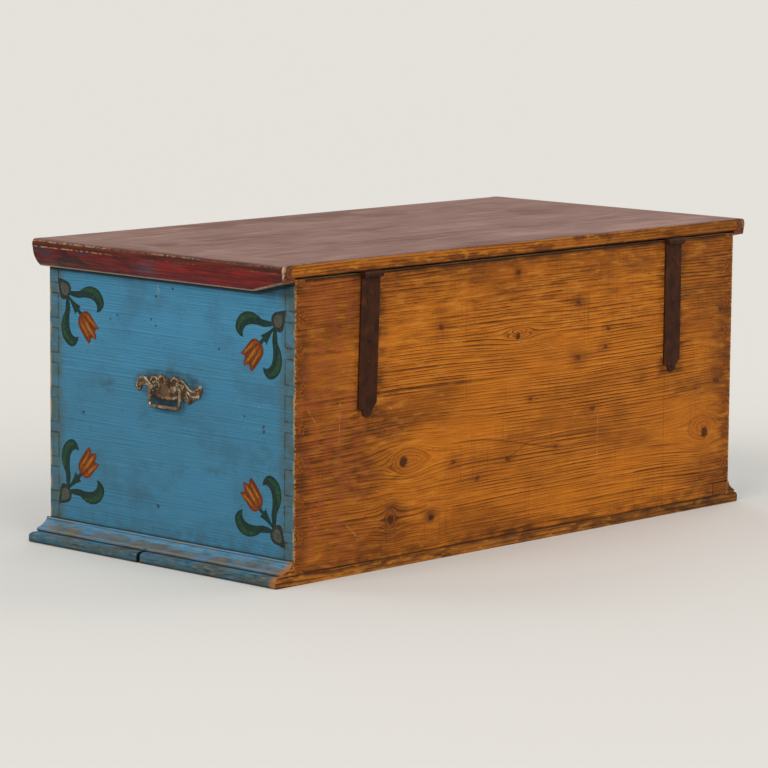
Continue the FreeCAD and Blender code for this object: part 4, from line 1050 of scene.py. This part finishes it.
def add_rib(bm, path, start_radius, end_radius, place):
    """Tapered round rib along a path on the plate."""
    rings = []
    last = len(path) - 1
    for i, point in enumerate(path):
        ahead = path[min(i + 1, last)] - path[max(i - 1, 0)]
        across = Vector((-ahead.y, ahead.x)).normalized()
        radius = start_radius + (end_radius - start_radius) * i / last
        ring = []
        for turn in round_turns(RIB_SIDES):
            spot = point + across * radius * math.cos(turn)
            level = PLATE_THICK + RIB_FLATTEN * radius * math.sin(turn)
            ring.append(bm.verts.new(place(spot.x, spot.y, level)))
        rings.append(ring)
    faces = [bm.faces.new(rings[0]), bm.faces.new(rings[-1])]
    for ring, following in zip(rings, rings[1:]):
        faces += join_rings(bm, ring, following)
    for face in faces:
        face.material_index = RIB_MATERIAL


def handle_plate(end):
    """Cast scrolled plate of one end: 1 is the right end, -1 the left one turned round."""
    name = "right" if end > 0 else "left"
    posts_low, posts_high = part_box(f"handle_posts_{name}")
    middle_z = (posts_low.z + posts_high.z) / 2

    def place(a, b, level):
        return Vector((end * (END_X + level * MM), end * a * MM, middle_z + b * MM))

    def fill(bm):
        add_plate(bm, smooth(PLATE_OUTLINE, True, PLATE_STEPS), PIECE_SINK, PLATE_THICK, place)
        for points, start_radius, end_radius in PLATE_RIBS:
            add_rib(bm, smooth(points, False, RIB_STEPS), start_radius, end_radius, place)
        for post in (-POST_Y, POST_Y):
            turns = [*round_turns(ROSETTE_STEPS), 2 * math.pi]
            ring = [
                Vector((post + ROSETTE_RADIUS * math.cos(turn), ROSETTE_RADIUS * math.sin(turn)))
                for turn in turns
            ]
            add_rib(bm, ring, ROSETTE_RIB, ROSETTE_RIB, place)

    plate = make_piece(f"scroll_plate_{name}", fill, "chest", [BRASS, RUBBED_BRASS])
    for face in plate.data.polygons:
        face.use_smooth = True
    plate.data.set_sharp_from_angle(angle=math.radians(SHARP_DEGREES))
    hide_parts(f"handle_plate_{name}")


handle_plate(1)
handle_plate(-1)


FLOOR_HALF = 60.0  # m
FLOOR_TONE = "#d3d0ca"
FLOOR_ROUGHNESS = 0.8


def add_floor():
    look = Look("floor")
    look.shader.inputs["Base Color"].default_value = tone(FLOOR_TONE)
    look.shader.inputs["Roughness"].default_value = FLOOR_ROUGHNESS
    corners = [(-1, -1), (1, -1), (1, 1), (-1, 1)]
    mesh = bpy.data.meshes.new("floor")
    mesh.from_pydata([(FLOOR_HALF * a, FLOOR_HALF * b, 0.0) for a, b in corners], [], [(0, 1, 2, 3)])
    mesh.materials.append(look.material)
    floor = add_object("floor", mesh)


def direction(azimuth, elevation):
    """From the object towards a place: azimuth 0 is the front, 90 the right end, 180 the back."""
    a, e = math.radians(azimuth), math.radians(elevation)
    return Vector((math.sin(a) * math.cos(e), -math.cos(a) * math.cos(e), math.sin(e)))


# Lamp: azimuth, elevation, strength, and angular size, which softens its shadow
LAMPS = {
    "key": (92, 34, 1.5, 45),
    "back": (178, 32, 1.45, 55),
    "far_end": (272, 32, 0.8, 60),
    "front": (0, 32, 0.9, 60),
}
WORLD_LIGHT = 0.4
WORLD_TONE = (1.0, 0.99, 0.97, 1.0)


def add_lights():
    for name, (azimuth, elevation, strength, spread) in LAMPS.items():
        light = bpy.data.lights.new(name, "SUN")
        light.energy = strength
        light.angle = math.radians(spread)
        lamp = add_object(name, light)
        lamp.rotation_mode = "QUATERNION"
        lamp.rotation_quaternion = (-direction(azimuth, elevation)).to_track_quat("-Z", "Y")
    world = bpy.data.worlds.new("studio")
    world.use_nodes = True
    background = world.node_tree.nodes["Background"]
    background.inputs["Color"].default_value = WORLD_TONE
    background.inputs["Strength"].default_value = WORLD_LIGHT
    bpy.context.scene.world = world


# The photograph's camera, fitted to the trunk's edges: degrees, metres and mm of lens
CAMERA_AZIMUTH = 133.1124
CAMERA_ELEVATION = 8.036
CAMERA_ROLL = 0.4926
CAMERA_DISTANCE = 6.64
CAMERA_LENS = 174.905
AIM_ACROSS = -0.0304
AIM_HEIGHT = 0.2462


def add_camera():
    back = direction(CAMERA_AZIMUTH, CAMERA_ELEVATION)
    right = Vector((0, 0, 1)).cross(back).normalized()
    up = back.cross(right)
    level = Matrix((right, up, back)).transposed()
    turned = level @ Matrix.Rotation(math.radians(CAMERA_ROLL), 3, "Z")
    spot = right * AIM_ACROSS + Vector((0, 0, AIM_HEIGHT)) + back * CAMERA_DISTANCE
    data = bpy.data.cameras.new("camera")
    data.lens = CAMERA_LENS
    camera = add_object("camera", data)
    camera.matrix_world = Matrix.Translation(spot) @ turned.to_4x4()
    bpy.context.scene.camera = camera


add_floor()
add_lights()
add_camera()
bpy.context.scene.view_settings.view_transform = "Standard"
